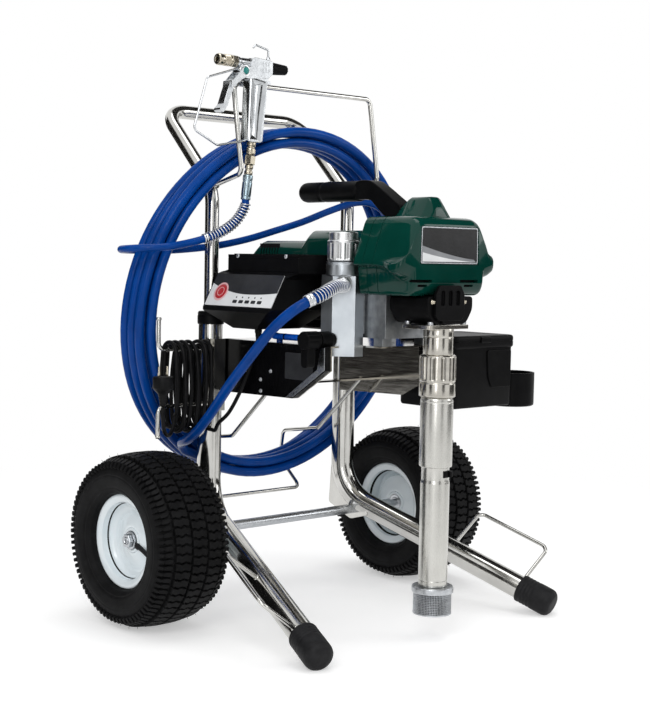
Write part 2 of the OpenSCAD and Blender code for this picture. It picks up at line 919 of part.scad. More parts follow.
module prime_knob() {
    color("#17181a")
        difference() {
            union() {
                bar([-160, -260, 551], [-168, -260, 551], 5);
                bar([-168, -260, 551], [-201, -260, 551], 17);
                // lever that hangs down from the knob
                translate([-199, -270, 500])
                    linear_extrude(height = 44)
                        square([22, 20]);
            }
            for (a = [0 : 45 : 315])
                translate([-204, -260, 551]) rotate([a, 0, 0])
                    translate([0, 0, 18.5]) rotate([0, 90, 0]) cylinder(r = 3, h = 12, $fn = 12);
        }
}

module drain_hose() {
    color("#1463d2")
        bent([[-146, -225, 551], [-146, -112, 551], [-128, -112, 551], [-128, -112, 452]], [0, 8, 8, 0], 5, 3);
}

outlet_at = [-113, -273, 657];
outlet_dir = unit([-0.7, -0.7, -0.1]);
module outlet_fitting() {
    color("#b9bcc0")
        difference() {
            bar(outlet_at, outlet_at + 20 * outlet_dir, 12.5);
            translate([0, 0, 520])
                linear_extrude(height = 151)
                    polygon([[-70, -220], [-70, -288], [-98, -288], [-128, -258], [-128, -220]]);
        }
}

module control_housing() {
    color("#161718")
        difference() {
            intersection() {
                translate([0, 6, 0])
                    rotate([90, 0, 0])
                        linear_extrude(height = 228)
                            polygon([
                                [-225, 598], [-225, 604], [-190, 668], [-180, 672], [-180, 706], [-78, 706],
                                [-78, 564], [-190, 564]
                            ]);
                side_plate(-230, 160, [
                    [6, 598], [6, 672], [-15, 676], [-15, 706], [-222, 706], [-222, 672], [-198, 660],
                    [-198, 604], [-115, 564], [-45, 564]
                ]);
            }
            // hollow inside
            translate([-180, -180, 606]) cube([96, 172, 62]);
            // seat of the panel
            panel_at() translate([3, -69, -0.8]) cube([198, 69, 2]);
            // gland of the mains cable
            translate([-172, -100, 550]) cylinder(r = 7, h = 40);
        }
    // bridge to the gearbox
    color("#161718")
        translate([-78, -214, 660]) cube([8, 20, 30]);
}

// frame of the sloping panel: x along the cart to the front, y up the slope, z outward
module panel_at() {
    multmatrix([
        [0, sin(panel_tilt), -cos(panel_tilt), -190],
        [-1, 0, 0, 6],
        [0, cos(panel_tilt), sin(panel_tilt), 668],
        [0, 0, 0, 1]
    ])
        children();
}

module control_panel() {
    color("#e8eaeb")
        panel_at()
            translate([3.3, -68.7, -0.8]) cube([197.4, 68.4, 1.4]);
    // domed keys under the film and the round switch
    color("#d7dadc")
        panel_at()
            for (i = [0 : key_count - 1])
                translate([84 + 18 * i, -62, 0.6]) cube([12, 7, 0.8]);
    color("#c8323a")
        panel_at()
            translate([36, -38, 0.6]) cylinder(d = 30, h = 1);
}

// ---- tool box ------------------------------------------------------------------

module toolbox_body() {
    color("#1a1b1c")
        difference() {
            union() {
                translate([box_x, box_y, box_z]) cube([box_w, box_l, box_h]);
                // rim that the lid rests on and hinge knuckles at the rear
                translate([box_x - 3, box_y - 3, box_z + box_h - 12]) cube([box_w + 6, box_l + 6, 12]);
                for (x = [box_x + 12, box_x + box_w - 32])
                    difference() {
                        translate([x, box_y + box_l + 2, box_z + box_h - 10]) cube([20, 11, 16]);
                        bar([x - 1, hinge_y + 2.5, hinge_z], [x + 21, hinge_y + 2.5, hinge_z], 3 + fit);
                    }
                // cup holder and its bracket
                translate([cup_at[0], cup_at[1], 400]) cylinder(d = cup_d + 8, h = 52);
                translate([box_x + box_w - 5, -280, 404]) cube([40, 56, 44]);
                // wall towards the chassis
                translate([152, -280, 470]) cube([14, 120, 50]);
            }
            translate([box_x + 3, box_y + 3, box_z + 3]) cube([box_w - 6, box_l - 6, box_h]);
            translate([cup_at[0], cup_at[1], 404]) cylinder(d = cup_d, h = 60);
        }
}

hinge_z = 543;
module toolbox_lid() {
    color("#1d1e1f")
        difference() {
            union() {
                translate([box_x - 3, box_y - 3, box_z + box_h + 0.2]) cube([box_w + 6, box_l + 4.5, 11.8]);
                for (x = [box_x + 32.3, box_x + box_w - 52.3])
                    translate([x, hinge_y - 4, hinge_z - 3]) cube([20, 9.5, 14]);
                bar([box_x + 12, hinge_y + 2.5, hinge_z], [box_x + 40, hinge_y + 2.5, hinge_z], 3);
                bar([box_x + box_w - 12, hinge_y + 2.5, hinge_z], [box_x + box_w - 40, hinge_y + 2.5, hinge_z], 3);
            }
            translate([box_x + 3, box_y + 3, box_z + box_h - 1]) cube([box_w - 6, box_l - 6, 10]);
            for (x = [box_x + 11.6, box_x + box_w - 32.4])
                difference() {
                    translate([x, hinge_y - 4.4, box_z + box_h - 1]) cube([20.8, 20, 30]);
                    bar([x - 9, hinge_y + 2.5, hinge_z], [x + 30, hinge_y + 2.5, hinge_z], 3);
                }
        }
}

// ---- spray gun -----------------------------------------------------------------

// the gun is drawn in X and Z around its own middle plane
module gun_plane(t) {
    translate([-6, -gun_y + t / 2, 0])
        rotate([90, 0, 0])
            linear_extrude(height = t)
                children();
}
function gun_pt(x, z) = [x - 6, -gun_y, z];
pivot = [-178, 1055];
lock_at = [-128, 1044];

module gun_body() {
    color("#c9ccd0")
        difference() {
            union() {
                gun_plane(22) {
                    // head and grip
                    polygon([
                        [-165, 1043], [-162, 1066], [-160, 1081], [-150, 1083], [-108, 1079], [-108, 1054],
                        [-119, 1046], [-131, 921], [-171, 921], [-164, 1043]
                    ]);
                    translate(pivot) circle(r = 13);
                }
                bar(gun_pt(-193, 1072), gun_pt(-140, 1072), 10);
                // lug that rests on the rack
                translate([-168, -gun_y, rack_z + rod_r + 0.3]) cube([26, gun_y - 20, 12]);
                // stem of the lock lever
                translate([0, 11, 0]) bar(gun_pt(lock_at[0], lock_at[1]), gun_pt(lock_at[0], lock_at[1]) + [0, 5, 0], 3);
            }
            translate([0, -20, 0])
                bar(gun_pt(pivot[0], pivot[1]), gun_pt(pivot[0], pivot[1]) + [0, 40, 0], 4 + fit);
            // fluid passage through the grip and needle bore
            bar(gun_pt(-151, 915), gun_pt(-143, 1060), 5);
            bar(gun_pt(-194, 1072), gun_pt(-120, 1072), 4);
        }
}

module gun_knob() {
    color("#17181a")
        translate(gun_pt(-108, 1067))
            rotate([0, 90, 0]) {
                cylinder(r = 12.5, h = 6);
                translate([0, 0, 6]) cylinder(r1 = 12, r2 = 9.5, h = 35);
            }
}

module gun_fittings() {
    a = gun_pt(-151, 921);
    c = gun_pt(-164, 811);
    u = unit(c - a);
    color("#b0a08a") {
        difference() {
            union() {
                translate(gun_pt(-193, 1072)) rotate([0, -90, 0]) cylinder(r = 12.5, h = 14, $fn = 6);
                translate(gun_pt(-207, 1072)) rotate([0, -90, 0]) cylinder(d = nozzle_d, h = 32);
            }
            bar(gun_pt(-250, 1072), gun_pt(-190, 1072), 3.5);
        }
        // swivel, nut and crimped ferrule
        bar(a, a + 24 * u, 9);
        bar(a + 24 * u, a + 44 * u, 11.5);
        bar(a + 44 * u, a + 63 * u, 8.5);
        difference() {
            bar(a + 63 * u, c, 9.8);
            bar(c - 26 * u, c + u, whip_r);
        }
    }
}

module trigger() {
    color("#c9ccd0")
        difference() {
            union() {
                for (side = [-1, 1])
                    translate([0, side * 12.4, 0])
                        gun_plane(2)
                            hull() {
                                translate(pivot) circle(r = 8);
                                translate([-205, 1031]) circle(r = 5);
                            }
                gun_plane(26.8)
                    polygon([[-211, 1034], [-200, 1034], [-203, 1024], [-214, 1022]]);
                gun_plane(20)
                    polygon([
                        [-211, 1034], [-201, 1030], [-211, 1008], [-221, 984], [-231, 973], [-237, 979],
                        [-229, 989], [-219, 1014]
                    ]);
                translate([0, -13.4, 0])
                    bar(gun_pt(pivot[0], pivot[1]), gun_pt(pivot[0], pivot[1]) + [0, 26.8, 0], 4);
            }
        }
}

module trigger_lock() {
    color("#8f9296")
        translate([0, 12.5, 0])
            difference() {
                gun_plane(2.6)
                    hull() {
                        translate(lock_at) circle(r = 5.5);
                        translate([-97, 1041]) circle(r = 3);
                    }
                translate([0, -5, 0])
                    bar(gun_pt(lock_at[0], lock_at[1]), gun_pt(lock_at[0], lock_at[1]) + [0, 10, 0], 3 + fit);
            }
}

module trigger_guard() {
    color("#a8a49a")
        difference() {
            translate([0, -1.2, 0]) {
                bent([
                    gun_pt(-186, 1060), gun_pt(-262, 1036), gun_pt(-293, 937), gun_pt(-236, 911), gun_pt(-165, 925)
                ], 10, 1.5);
                bent([gun_pt(-113, 1070), gun_pt(-113, 1101), gun_pt(-145, 1108), gun_pt(-151, 1102)], 3, 2);
            }
            gun_plane(40)
                polygon([
                    [-165, 1043], [-162, 1066], [-160, 1081], [-150, 1083], [-108, 1079], [-108, 1054],
                    [-119, 1046], [-131, 921], [-171, 921], [-164, 1043]
                ]);
            bar(gun_pt(-194, 1072), gun_pt(-140, 1072), 10);
            gun_plane(40) translate(pivot) circle(r = 13);
        }
}

// ---- hose ----------------------------------------------------------------------

function coil_y(z) = -1.5 + coil_lean * (877 - z);
// place on the coil: angle, radius and distance along its axis
function coil_at(a, r, w) =
    let (z = coil_z + r * sin(a)) [r * cos(a), coil_y(z) + w, z];
half_w = coil_pitch * coil_turns / 2;
climb_a = coil_start + 360 * coil_turns;
coil_end = 2160;
function coil_w(a) =
    a < climb_a ? -half_w + coil_pitch * (a - coil_start) / 360
    : a < climb_a + coil_climb ? half_w
    : half_w - 2 * half_w * (a - climb_a - coil_climb) / (coil_end - climb_a - coil_climb) - 12 * leave(a);
function smooth(t) = t <= 0 ? 0 : t >= 1 ? 1 : t * t * (3 - 2 * t);
// the last stretch eases out of the coil towards the whip
function leave(a) = smooth((a - coil_end + 70) / 70);
function coil_r(a) = coil_out - (coil_out - coil_in) * smooth((a - climb_a) / coil_climb) - 13 * leave(a);
coil_steps = 152;
function coil_pt(i) =
    let (a = coil_start + (coil_end - coil_start) * i / coil_steps) coil_at(a, coil_r(a), coil_w(a));
coil_mid = [for (i = [0 : coil_steps]) coil_pt(i)];
// straight stubs, one diameter long, at both ends of the coil
coil_path = concat(
    [coil_mid[0] + hose_d * unit(coil_mid[0] - coil_mid[1])],
    coil_mid,
    [coil_mid[coil_steps] + hose_d * unit(coil_mid[coil_steps] - coil_mid[coil_steps - 1])]
);
echo(coil_least_gap = least_gap(coil_path, 12, hose_r));
echo(coil_length_m = path_len(coil_path) / 1000);
function path_len(p) = total([for (i = [0 : len(p) - 2]) norm(p[i + 1] - p[i])]);
function total(v, i = 0) = i < len(v) ? v[i] + total(v, i + 1) : 0;

module hose_coil() {
    color("#12357f")
        swept(coil_path, hose_r, 6, [0, 1, 0]);
}

// from the pump's outlet down to the start of the coil
pump_exit = outlet_at + 20 * outlet_dir;
coil_in_at = coil_path[0];
coil_in_dir = unit(coil_path[0] - coil_path[1]);
pump_path = concat(
    [pump_exit, pump_exit + hose_d * outlet_dir],
    curve([
        pump_exit + 34 * outlet_dir, [-186, -325, 650], [-227, -335, 637], [-257, -330, 624],
        [-277, -310, 605], [-284, -270, 574], [-282, -215, 527], [-279, -150, 469], [-270, -84, 409],
        [-266, -40, 372], [-260, 0, 348], [-248, 34, 338], [-233, 58, 331],
        coil_in_at + 1.4 * hose_d * coil_in_dir
    ], 1),
    [coil_in_at + hose_d * coil_in_dir * 0.5, coil_in_at]
);
echo(pump_run_m = path_len(pump_path) / 1000);

module hose_pump_run() {
    color("#12357f")
        swept(pump_path, hose_r, 8);
}

// from the coil's end round its left side and back to the gun
gun_hose_at = gun_pt(-164, 811) - 26 * unit(gun_pt(-164, 811) - gun_pt(-151, 921));
gun_hose_dir = unit(gun_pt(-164, 811) - gun_pt(-151, 921));
coil_out_at = coil_path[len(coil_path) - 1];
coil_out_dir = unit(coil_out_at - coil_path[len(coil_path) - 2]);
joint_end = coil_out_at + 50 * coil_out_dir;
whip_path = concat(
    [gun_hose_at, gun_hose_at + 26 * gun_hose_dir],
    curve([
        gun_hose_at + 40 * gun_hose_dir, [-190, -51, 771], [-214, -47, 753], [-243, -40, 739],
        [-290, -32, 726], [-345, -26, 717], [-384, 6, 714], [-386, 50, 712], [-354, 84, 711],
        [-300, 92, 711], [-230, 86, 713], [-148, 70, 722], [-70, 62, 737], [0, 50, 757], [55, 30, 776],
        [110, 8, 800], [165, -6, 818], [205, -20, 818], [240, -30, 796], [272, -28, 758],
        [298, -16, 714], joint_end + 26 * coil_out_dir
    ], 1),
    [joint_end + whip_d * coil_out_dir, joint_end]
);
echo(whip_m = path_len(whip_path) / 1000, whip_rings = len(whip_path), pump_rings = len(pump_path));

module hose_gun_run() {
    color("#12357f")
        swept(whip_path, whip_r, 8);
}

module hose_coupling() {
    color("#b9bcc0") {
        bar(coil_out_at, coil_out_at + 18 * coil_out_dir, 11);
        bar(coil_out_at + 18 * coil_out_dir, coil_out_at + 36 * coil_out_dir, 10);
        bar(coil_out_at + 36 * coil_out_dir, joint_end, 9.5);
    }
}

// a wire spring round a stretch of a path
function along(p, d, i = 0) =
    i >= len(p) - 2 || d <= norm(p[i + 1] - p[i])
    ? p[i] + d * unit(p[i + 1] - p[i]) : along(p, d - norm(p[i + 1] - p[i]), i + 1);
function along_dir(p, d) = unit(along(p, d + 4) - along(p, d - 4));
function spring(p, d0, d1, r, n) = [
    for (i = [0 : 8 * n])
        let (
            d = lerp(d0, d1, i / (8 * n)), h = along_dir(p, d),
            s = side_next([0, 0, 1], h), w = cross(h, s)
        ) along(p, d) + r * (cos(45 * i) * s + sin(45 * i) * w)
];
curls = 17;
pump_spring = spring(pump_path, 6, 120, hose_r + 1.9, curls);
gun_spring = spring(whip_path, 32, 140, whip_r + 1.9, curls);

module guard_pump() {
    color("#c9ccd0") {
        swept(pump_spring, 1.1, 6);
        difference() {
            bar(along(pump_path, 124), along(pump_path, 138), hose_r + 2.6);
            bar(along(pump_path, 122), along(pump_path, 140), hose_r + 0.5);
        }
    }
}

module guard_gun() {
    color("#c9ccd0") {
        swept(gun_spring, 1.1, 6);
        difference() {
            bar(along(whip_path, 143), along(whip_path, 153), whip_r + 2.6);
            bar(along(whip_path, 142), along(whip_path, 154), whip_r + 0.5);
        }
    }
}

// ---- mains cable ---------------------------------------------------------------

// one hank of upright loops over both hooks: 4 rings on each straight, 8 on each half circle
hank_x0 = -214;
hank_pitch = 8.2;
hank_half = 23;
hank_top = 510;
hank_low = 395;
function hank_pt(n) =
    let (u = n % 24, x = hank_x0 - hank_pitch * (n - 8) / 24)
    u < 4 ? [x, 2 - hank_half, lerp(hank_top, hank_low, u / 4)]
    : u < 12 ? [x, 2 - hank_half * cos(22.5 * (u - 4)), hank_low - hank_half * sin(22.5 * (u - 4))]
    : u < 16 ? [x, 2 + hank_half, lerp(hank_low, hank_top, (u - 12) / 4)]
    : [x, 2 + hank_half * cos(22.5 * (u - 16)), hank_top + hank_half * sin(22.5 * (u - 16))];
hank_last = 27 + 24 * (cable_loops - 0.5);
hank_path = concat(
    [hank_pt(8) - [0, cable_d, 0]],
    [for (n = [8 : hank_last]) hank_pt(n)],
    [hank_pt(hank_last) - [0, 0, cable_d]]
);
echo(hank_least_gap = least_gap(hank_path, 12, cable_r), hank_m = path_len(hank_path) / 1000);

module cable_coil() {
    color("#141415")
        swept(hank_path, cable_r, 6, [sqrt(3) / 2, 0, 0.5]);
}

gland = [-172, -100, 564];
cable_path = concat(
    [gland, gland - [0, 0, cable_d]],
    curve([
        gland - [0, 0, 14], [-174, -97, 532], [-180, -84, 486], [-188, -66, 440], [-199, -47, 400],
        [-209, -28, 378], hank_path[0] - [0, 11, 0]
    ], 1),
    [hank_path[0] - [0, cable_d, 0], hank_path[0]]
);
plug_at = [-366, -58, 420];
tail_from = hank_path[len(hank_path) - 1];
tail_path = concat(
    [tail_from, tail_from - [0, 0, cable_d]],
    curve([
        tail_from - [0, 0, 15], [-311, -21, 396], [-319, -26, 374], [-338, -40, 364], [-358, -53, 374],
        plug_at - [0, 0, 18]
    ], 1),
    [plug_at - [0, 0, cable_d], plug_at]
);
echo(cable_m = (path_len(cable_path) + path_len(tail_path)) / 1000, rings = len(cable_path) + len(tail_path));

module cable_run() {
    color("#141415")
        swept(cable_path, cable_r, 8, [1, 0, 0]);
}

module cable_tail() {
    color("#141415")
        swept(tail_path, cable_r, 8, [1, 0, 0]);
}

module plug() {
    color("#141415")
        translate(plug_at) {
            cylinder(r1 = 6, r2 = 8, h = 22);
            translate([0, 0, 22]) cylinder(r1 = 12, r2 = 19.5, h = 14);
            translate([0, 0, 36]) cylinder(r = 19.5, h = 22);
        }
    color("#c3c6ca")
        for (x = [-9.5, 9.5])
            translate(plug_at + [x, 0, 58]) cylinder(d = 4.8, h = 19);
}

// ---- choosing what is drawn ----------------------------------------------------

frame_tubes();
foot_caps();
leg_rails();
axle();
axle_brackets();
tube_collars();
cable_hooks();
hose_cradle();
chassis_sheet();
electrical_box();
tyre_left();
rim_left();
bearings_left();
tyre_right();
rim_right();
bearings_right();
handle_tube();
handle_glides();
hose_rack();
motor_housing();
motor_rotor();
gearbox_housing();
crank_gear();
drive_housing();
slotted_cover();
hood_front();
hood_rear();
badge_plate();
carry_handle();
pump_cylinder();
pump_rod();
suction_tube();
inlet_strainer();
manifold_block();
filter_cap();
filter_element();
prime_valve();
prime_knob();
drain_hose();
outlet_fitting();
control_housing();
control_panel();
toolbox_body();
toolbox_lid();
gun_body();
gun_knob();
gun_fittings();
trigger();
trigger_lock();
trigger_guard();
hose_pump_run();
hose_coil();
hose_gun_run();
hose_coupling();
guard_pump();
guard_gun();
cable_run();
cable_coil();
cable_tail();
plug();
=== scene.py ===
# %% [markdown]
# # Airless paint sprayer on a two-wheel cart
#
# The script loads the finished solids as a fixed frame and dresses them piece by piece.
# Lengths in the drawings are in millimetres, as on a workshop drawing, and helpers turn them into
# Blender's metres. +Z is up, the legs point towards -Y and the tool box is on the +X side.

# %% Load the frame
import bpy, bmesh
from math import acos, cos, degrees, pi, radians, sin, tan
import numpy as np
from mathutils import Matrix, Quaternion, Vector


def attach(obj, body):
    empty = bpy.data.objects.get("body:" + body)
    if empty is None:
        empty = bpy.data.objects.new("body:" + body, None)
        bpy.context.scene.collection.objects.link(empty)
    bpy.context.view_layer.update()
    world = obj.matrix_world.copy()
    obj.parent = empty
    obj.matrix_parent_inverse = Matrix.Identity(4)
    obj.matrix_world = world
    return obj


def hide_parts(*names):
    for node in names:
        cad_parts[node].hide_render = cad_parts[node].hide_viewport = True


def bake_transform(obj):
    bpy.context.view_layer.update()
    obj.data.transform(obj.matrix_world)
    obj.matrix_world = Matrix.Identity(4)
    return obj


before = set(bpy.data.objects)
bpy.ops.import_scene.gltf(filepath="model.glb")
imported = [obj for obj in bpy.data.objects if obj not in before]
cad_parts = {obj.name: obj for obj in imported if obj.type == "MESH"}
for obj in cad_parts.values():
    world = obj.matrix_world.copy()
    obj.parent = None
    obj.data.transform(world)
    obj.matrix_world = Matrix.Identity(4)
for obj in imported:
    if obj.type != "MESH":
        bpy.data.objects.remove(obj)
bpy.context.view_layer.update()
scene = bpy.context.scene
scene.view_settings.view_transform = "Standard"

# %% [markdown]
# ## The camera
# The view is a long lens a little above the pump, from the front left corner of the cart. The lens
# shift is small, so that the object also stays in the picture from its other sides.

# %% Camera
camera_data = bpy.data.cameras.new("camera")
camera_data.lens = 71.084
camera_data.sensor_width = 36.0
camera_data.shift_x = 0.05
camera_data.clip_end = 50.0
camera = bpy.data.objects.new("camera", camera_data)
scene.collection.objects.link(camera)
camera.location = (-1.9382, -2.1807, 0.7017)
turn, tip, roll = radians(-41.572), radians(4.154), radians(0.971)
back = Vector((sin(turn) * cos(tip), -cos(turn) * cos(tip), sin(tip)))
camera.rotation_euler = (back.to_track_quat("Z", "Y") @ Quaternion((0, 0, 1), roll)).to_euler()
scene.camera = camera
print("lens", round(camera_data.lens, 1), "mm at", [round(v, 2) for v in camera.location])

# %% [markdown]
# ## Tubes that follow a path
# Hoses, cables, rods and wires are all one round section carried along a path.
# A skin built ring by ring keeps every ring square to the path, and it stores how far along
# and how far round each corner is, so that a pattern can follow the tube.

# %% Paths
MM = 0.001


def unit(v):
    v = np.asarray(v, float)
    return v / np.linalg.norm(v)


def smooth_path(points, steps):
    """A smooth curve through the points, with the given steps between each pair."""
    p = np.asarray(points, float)
    p = np.vstack([2 * p[0] - p[1], p, 2 * p[-1] - p[-2]])
    out = []
    for i in range(1, len(p) - 2):
        a, b, c, d = p[i - 1 : i + 3]
        for t in np.arange(steps) / steps:
            out.append(0.5 * (2 * b + (c - a) * t + (2 * a - 5 * b + 4 * c - d) * t**2
                    + (3 * b - a - 3 * c + d) * t**3))
    return np.array(out + [p[-2]])


def bent_path(points, radii, step=6.0):
    """A path with straight stretches and round bends, one ring every few degrees of a bend."""
    p = [np.asarray(q, float) for q in points]
    if np.isscalar(radii):
        radii = [radii] * len(p)
    out = [p[0]]
    for i in range(1, len(p) - 1):
        u, v = unit(p[i] - p[i - 1]), unit(p[i + 1] - p[i])
        angle = acos(max(-1, min(1, float(u @ v))))
        cut = radii[i] * tan(angle / 2)
        start, side = p[i] - u * cut, unit(v - u * (u @ v))
        middle = start + side * radii[i]
        n = max(2, int(degrees(angle) / step))
        for k in range(n + 1):
            t = angle * k / n
            out.append(middle - side * radii[i] * cos(t) + u * radii[i] * sin(t))
    return np.array(out + [p[-1]])


def path_length(path):
    return float(np.linalg.norm(np.diff(path, axis=0), axis=1).sum())


def along(path, distance):
    """The point of a path at a distance from its start, and the way the path runs there."""
    path = np.asarray(path, float)
    gaps = np.linalg.norm(np.diff(path, axis=0), axis=1)
    i = min(int(np.searchsorted(np.cumsum(gaps), distance)), len(gaps) - 1)
    way = unit(path[i + 1] - path[i])
    return path[i] + way * (distance - gaps[:i].sum()), way


quarter = bent_path([(0, 0, 0), (50, 0, 0), (50, 50, 0)], 50)
print("a quarter bend of 50 mm radius is", round(path_length(quarter), 1), "mm long")

# %% Skin round a path
def new_object(name, data):
    """An object that shows the data, in the scene."""
    made = bpy.data.objects.new(name, data)
    scene.collection.objects.link(made)
    return made


def finish_mesh(name, mesh, sharp=30.0):
    """Turns a bmesh into an object; only edges that turn more than sharp degrees stay crisp."""
    bmesh.ops.recalc_face_normals(mesh, faces=mesh.faces)
    data = bpy.data.meshes.new(name)
    mesh.to_mesh(data)
    mesh.free()
    data.shade_smooth()
    data.set_sharp_from_angle(angle=radians(sharp))
    return new_object(name, data)


def tube(name, path, radius, sides=16, up=(0, 0, 1), bore=None, swell=None):
    """A closed tube along the path; bore is (radius, depth) of a hole in its first end."""
    p = np.asarray(path, float)
    n = len(p)
    ahead = np.gradient(p, axis=0)
    ahead[1:-1] = [unit(unit(p[i + 1] - p[i]) + unit(p[i] - p[i - 1])) for i in range(1, n - 1)]
    ahead /= np.linalg.norm(ahead, axis=1)[:, None]
    side = np.cross(ahead[0], up)
    side = unit(side if np.linalg.norm(side) > 1e-3 else np.cross(ahead[0], (1, 0, 0)))
    distance = np.concatenate([[0], np.cumsum(np.linalg.norm(np.diff(p, axis=0), axis=1))])
    angles = np.arange(sides) * 2 * pi / sides
    mesh, rings, marks = bmesh.new(), [], []

    def ring(middle, way, r, mark):
        other = np.cross(way, side)
        rings.append([mesh.verts.new(middle + r * (cos(a) * side + sin(a) * other))
                for a in angles])
        marks.append(mark)

    if bore:
        ring(p[0] + ahead[0] * bore[1], ahead[0], bore[0], -2 * bore[1])
        ring(p[0], ahead[0], bore[0], -0.001)
    for i in range(n):
        side = unit(side - ahead[i] * (side @ ahead[i]))
        ring(p[i], ahead[i], radius if swell is None else swell[i], distance[i])
    uv = mesh.loops.layers.uv.new("UVMap")
    for i in range(len(rings) - 1):
        for k in range(sides):
            m = (k + 1) % sides
            face = mesh.faces.new((rings[i][k], rings[i][m], rings[i + 1][m], rings[i + 1][k]))
            for loop, (u, v) in zip(face.loops, ((i, k), (i, k + 1), (i + 1, k + 1), (i + 1, k))):
                loop[uv].uv = (marks[u], v / sides)
    mesh.faces.new(rings[0][::-1])
    mesh.faces.new(rings[-1])
    return finish_mesh(name, mesh, 40.0)

# %% [markdown]
# ## The hose coil and the run from the pump
# A 15 m high pressure hose is wound in two shells of three turns on the handle's rack.
# It starts on the outer shell in front, drifts back one spacing a turn, eases inwards over part
# of a turn and drifts forward again. The route comes from a formula, so the turns never touch.
# The same hose leaves the pump's outlet, swings out past the controls and joins the first turn,
# so both stretches are one skin.

# %% Hose coil
HOSE, WHIP, CABLE = 0.0095, 0.00725, 0.0038
COIL_Z, COIL_OUT, COIL_IN, COIL_PITCH, COIL_TURNS = 0.602, 0.351, 0.330, 0.0233, 2.9
COIL_FIRST, COIL_LAST, COIL_CLIMB = -120.0, 2160.0, 150.0
half_width = COIL_PITCH * COIL_TURNS / 2
climb_from = COIL_FIRST + 360 * COIL_TURNS


def ease(t):
    t = min(1.0, max(0.0, t))
    return t * t * (3 - 2 * t)


def coil_point(angle):
    leave = ease((angle - COIL_LAST + 70) / 70)
    if angle < climb_from:
        across = -half_width + COIL_PITCH * (angle - COIL_FIRST) / 360
    elif angle < climb_from + COIL_CLIMB:
        across = half_width
    else:
        t = (angle - climb_from - COIL_CLIMB) / (COIL_LAST - climb_from - COIL_CLIMB)
        across = half_width - 2 * half_width * t - 0.012 * leave
    radius = COIL_OUT - (COIL_OUT
        - COIL_IN) * ease((angle - climb_from) / COIL_CLIMB) - 0.013 * leave
    z = COIL_Z + radius * sin(radians(angle))
    return (radius * cos(radians(angle)), -0.0015 + 0.186 * (0.877 - z) + across, z)


def coil_chain(steps):
    turns = np.array([coil_point(a) for a in np.linspace(COIL_FIRST, COIL_LAST, steps + 1)])
    first = turns[0] + 2 * HOSE * unit(turns[0] - turns[1])
    last = turns[-1] + 2 * HOSE * unit(turns[-1] - turns[-2])
    return np.vstack([first, turns, last])


rough_coil = coil_chain(152)
coil_path = np.vstack([rough_coil[0], coil_chain(608)[1:-1], rough_coil[-1]])
print("coil", round(path_length(coil_path), 2), "m")

# %% Hose from the pump
outlet_at = np.array((-0.113, -0.273, 0.657))
outlet_way = unit((-0.7, -0.7, -0.1))
pump_exit = outlet_at + 0.020 * outlet_way
coil_first, coil_first_way = rough_coil[0], unit(rough_coil[0] - rough_coil[1])
PUMP_ROUTE = [(-0.186, -0.325, 0.650), (-0.227, -0.335, 0.637), (-0.257, -0.330, 0.624),
    (-0.277, -0.310, 0.605), (-0.284, -0.270, 0.574), (-0.282, -0.215, 0.527),
    (-0.279, -0.150, 0.469), (-0.270, -0.084, 0.409), (-0.266, -0.040, 0.372), (-0.260, 0.0, 0.348),
    (-0.248, 0.034, 0.338), (-0.233, 0.058, 0.331)]
pump_path = np.vstack([[pump_exit],
        smooth_path([pump_exit + 0.019 * outlet_way, pump_exit + 0.034 * outlet_way, *PUMP_ROUTE,
            coil_first + 1.4 * 0.019 * coil_first_way, coil_first + 0.0095 * coil_first_way], 6),
        [coil_first]])
hose_path = np.vstack([pump_path, coil_path[1:]])
pressure_hose = tube("pressure_hose", hose_path, HOSE, 14)

# %% [markdown]
# ## The whip to the gun
# From the coil's last turn a thinner whip goes behind the cart and up to the gun's swivel.

# %% Whip hose
def gun_point(x, z):
    """A point of the gun's middle plane, from its drawing in millimetres."""
    return np.array(((x - 6) * MM, -0.053, z * MM))


swivel_at, ferrule_at = gun_point(-151, 921), gun_point(-164, 811)
ferrule_way = unit(ferrule_at - swivel_at)
whip_from = ferrule_at - 0.026 * ferrule_way
coil_last, coil_last_way = rough_coil[-1], unit(rough_coil[-1] - rough_coil[-2])
joint_end = coil_last + 0.050 * coil_last_way
WHIP_ROUTE = [(-0.190, -0.051, 0.771), (-0.214, -0.047, 0.753), (-0.243, -0.040, 0.739),
    (-0.290, -0.032, 0.726), (-0.345, -0.026, 0.717), (-0.384, 0.006, 0.714),
    (-0.386, 0.050, 0.712), (-0.354, 0.084, 0.711), (-0.300, 0.092, 0.711), (-0.230, 0.086, 0.713),
    (-0.148, 0.070, 0.722), (-0.070, 0.062, 0.737), (0.0, 0.050, 0.757), (0.055, 0.030, 0.776),
    (0.110, 0.008, 0.800), (0.165, -0.006, 0.818), (0.205, -0.020, 0.818), (0.240, -0.030, 0.796),
    (0.272, -0.028, 0.758), (0.298, -0.016, 0.714)]
whip_path = np.vstack([[whip_from],
        smooth_path([whip_from + 0.026 * ferrule_way, whip_from + 0.040 * ferrule_way, *WHIP_ROUTE,
            joint_end + 0.026 * coil_last_way, joint_end + 0.0145 * coil_last_way], 6),
        [joint_end]])
whip_hose = tube("whip_hose", whip_path, WHIP, 16)

# %% [markdown]
# ## The mains cable
# A 7.6 mm rubber cable comes out of a gland under the control box, is wound round the two
# hooks on the left post in upright loops and ends in a plug. It is one tube from end to end.

# %% Mains cable
HANK_X, HANK_PITCH, HANK_HALF, HANK_TOP, HANK_LOW = -0.214, 0.0082, 0.023, 0.510, 0.395


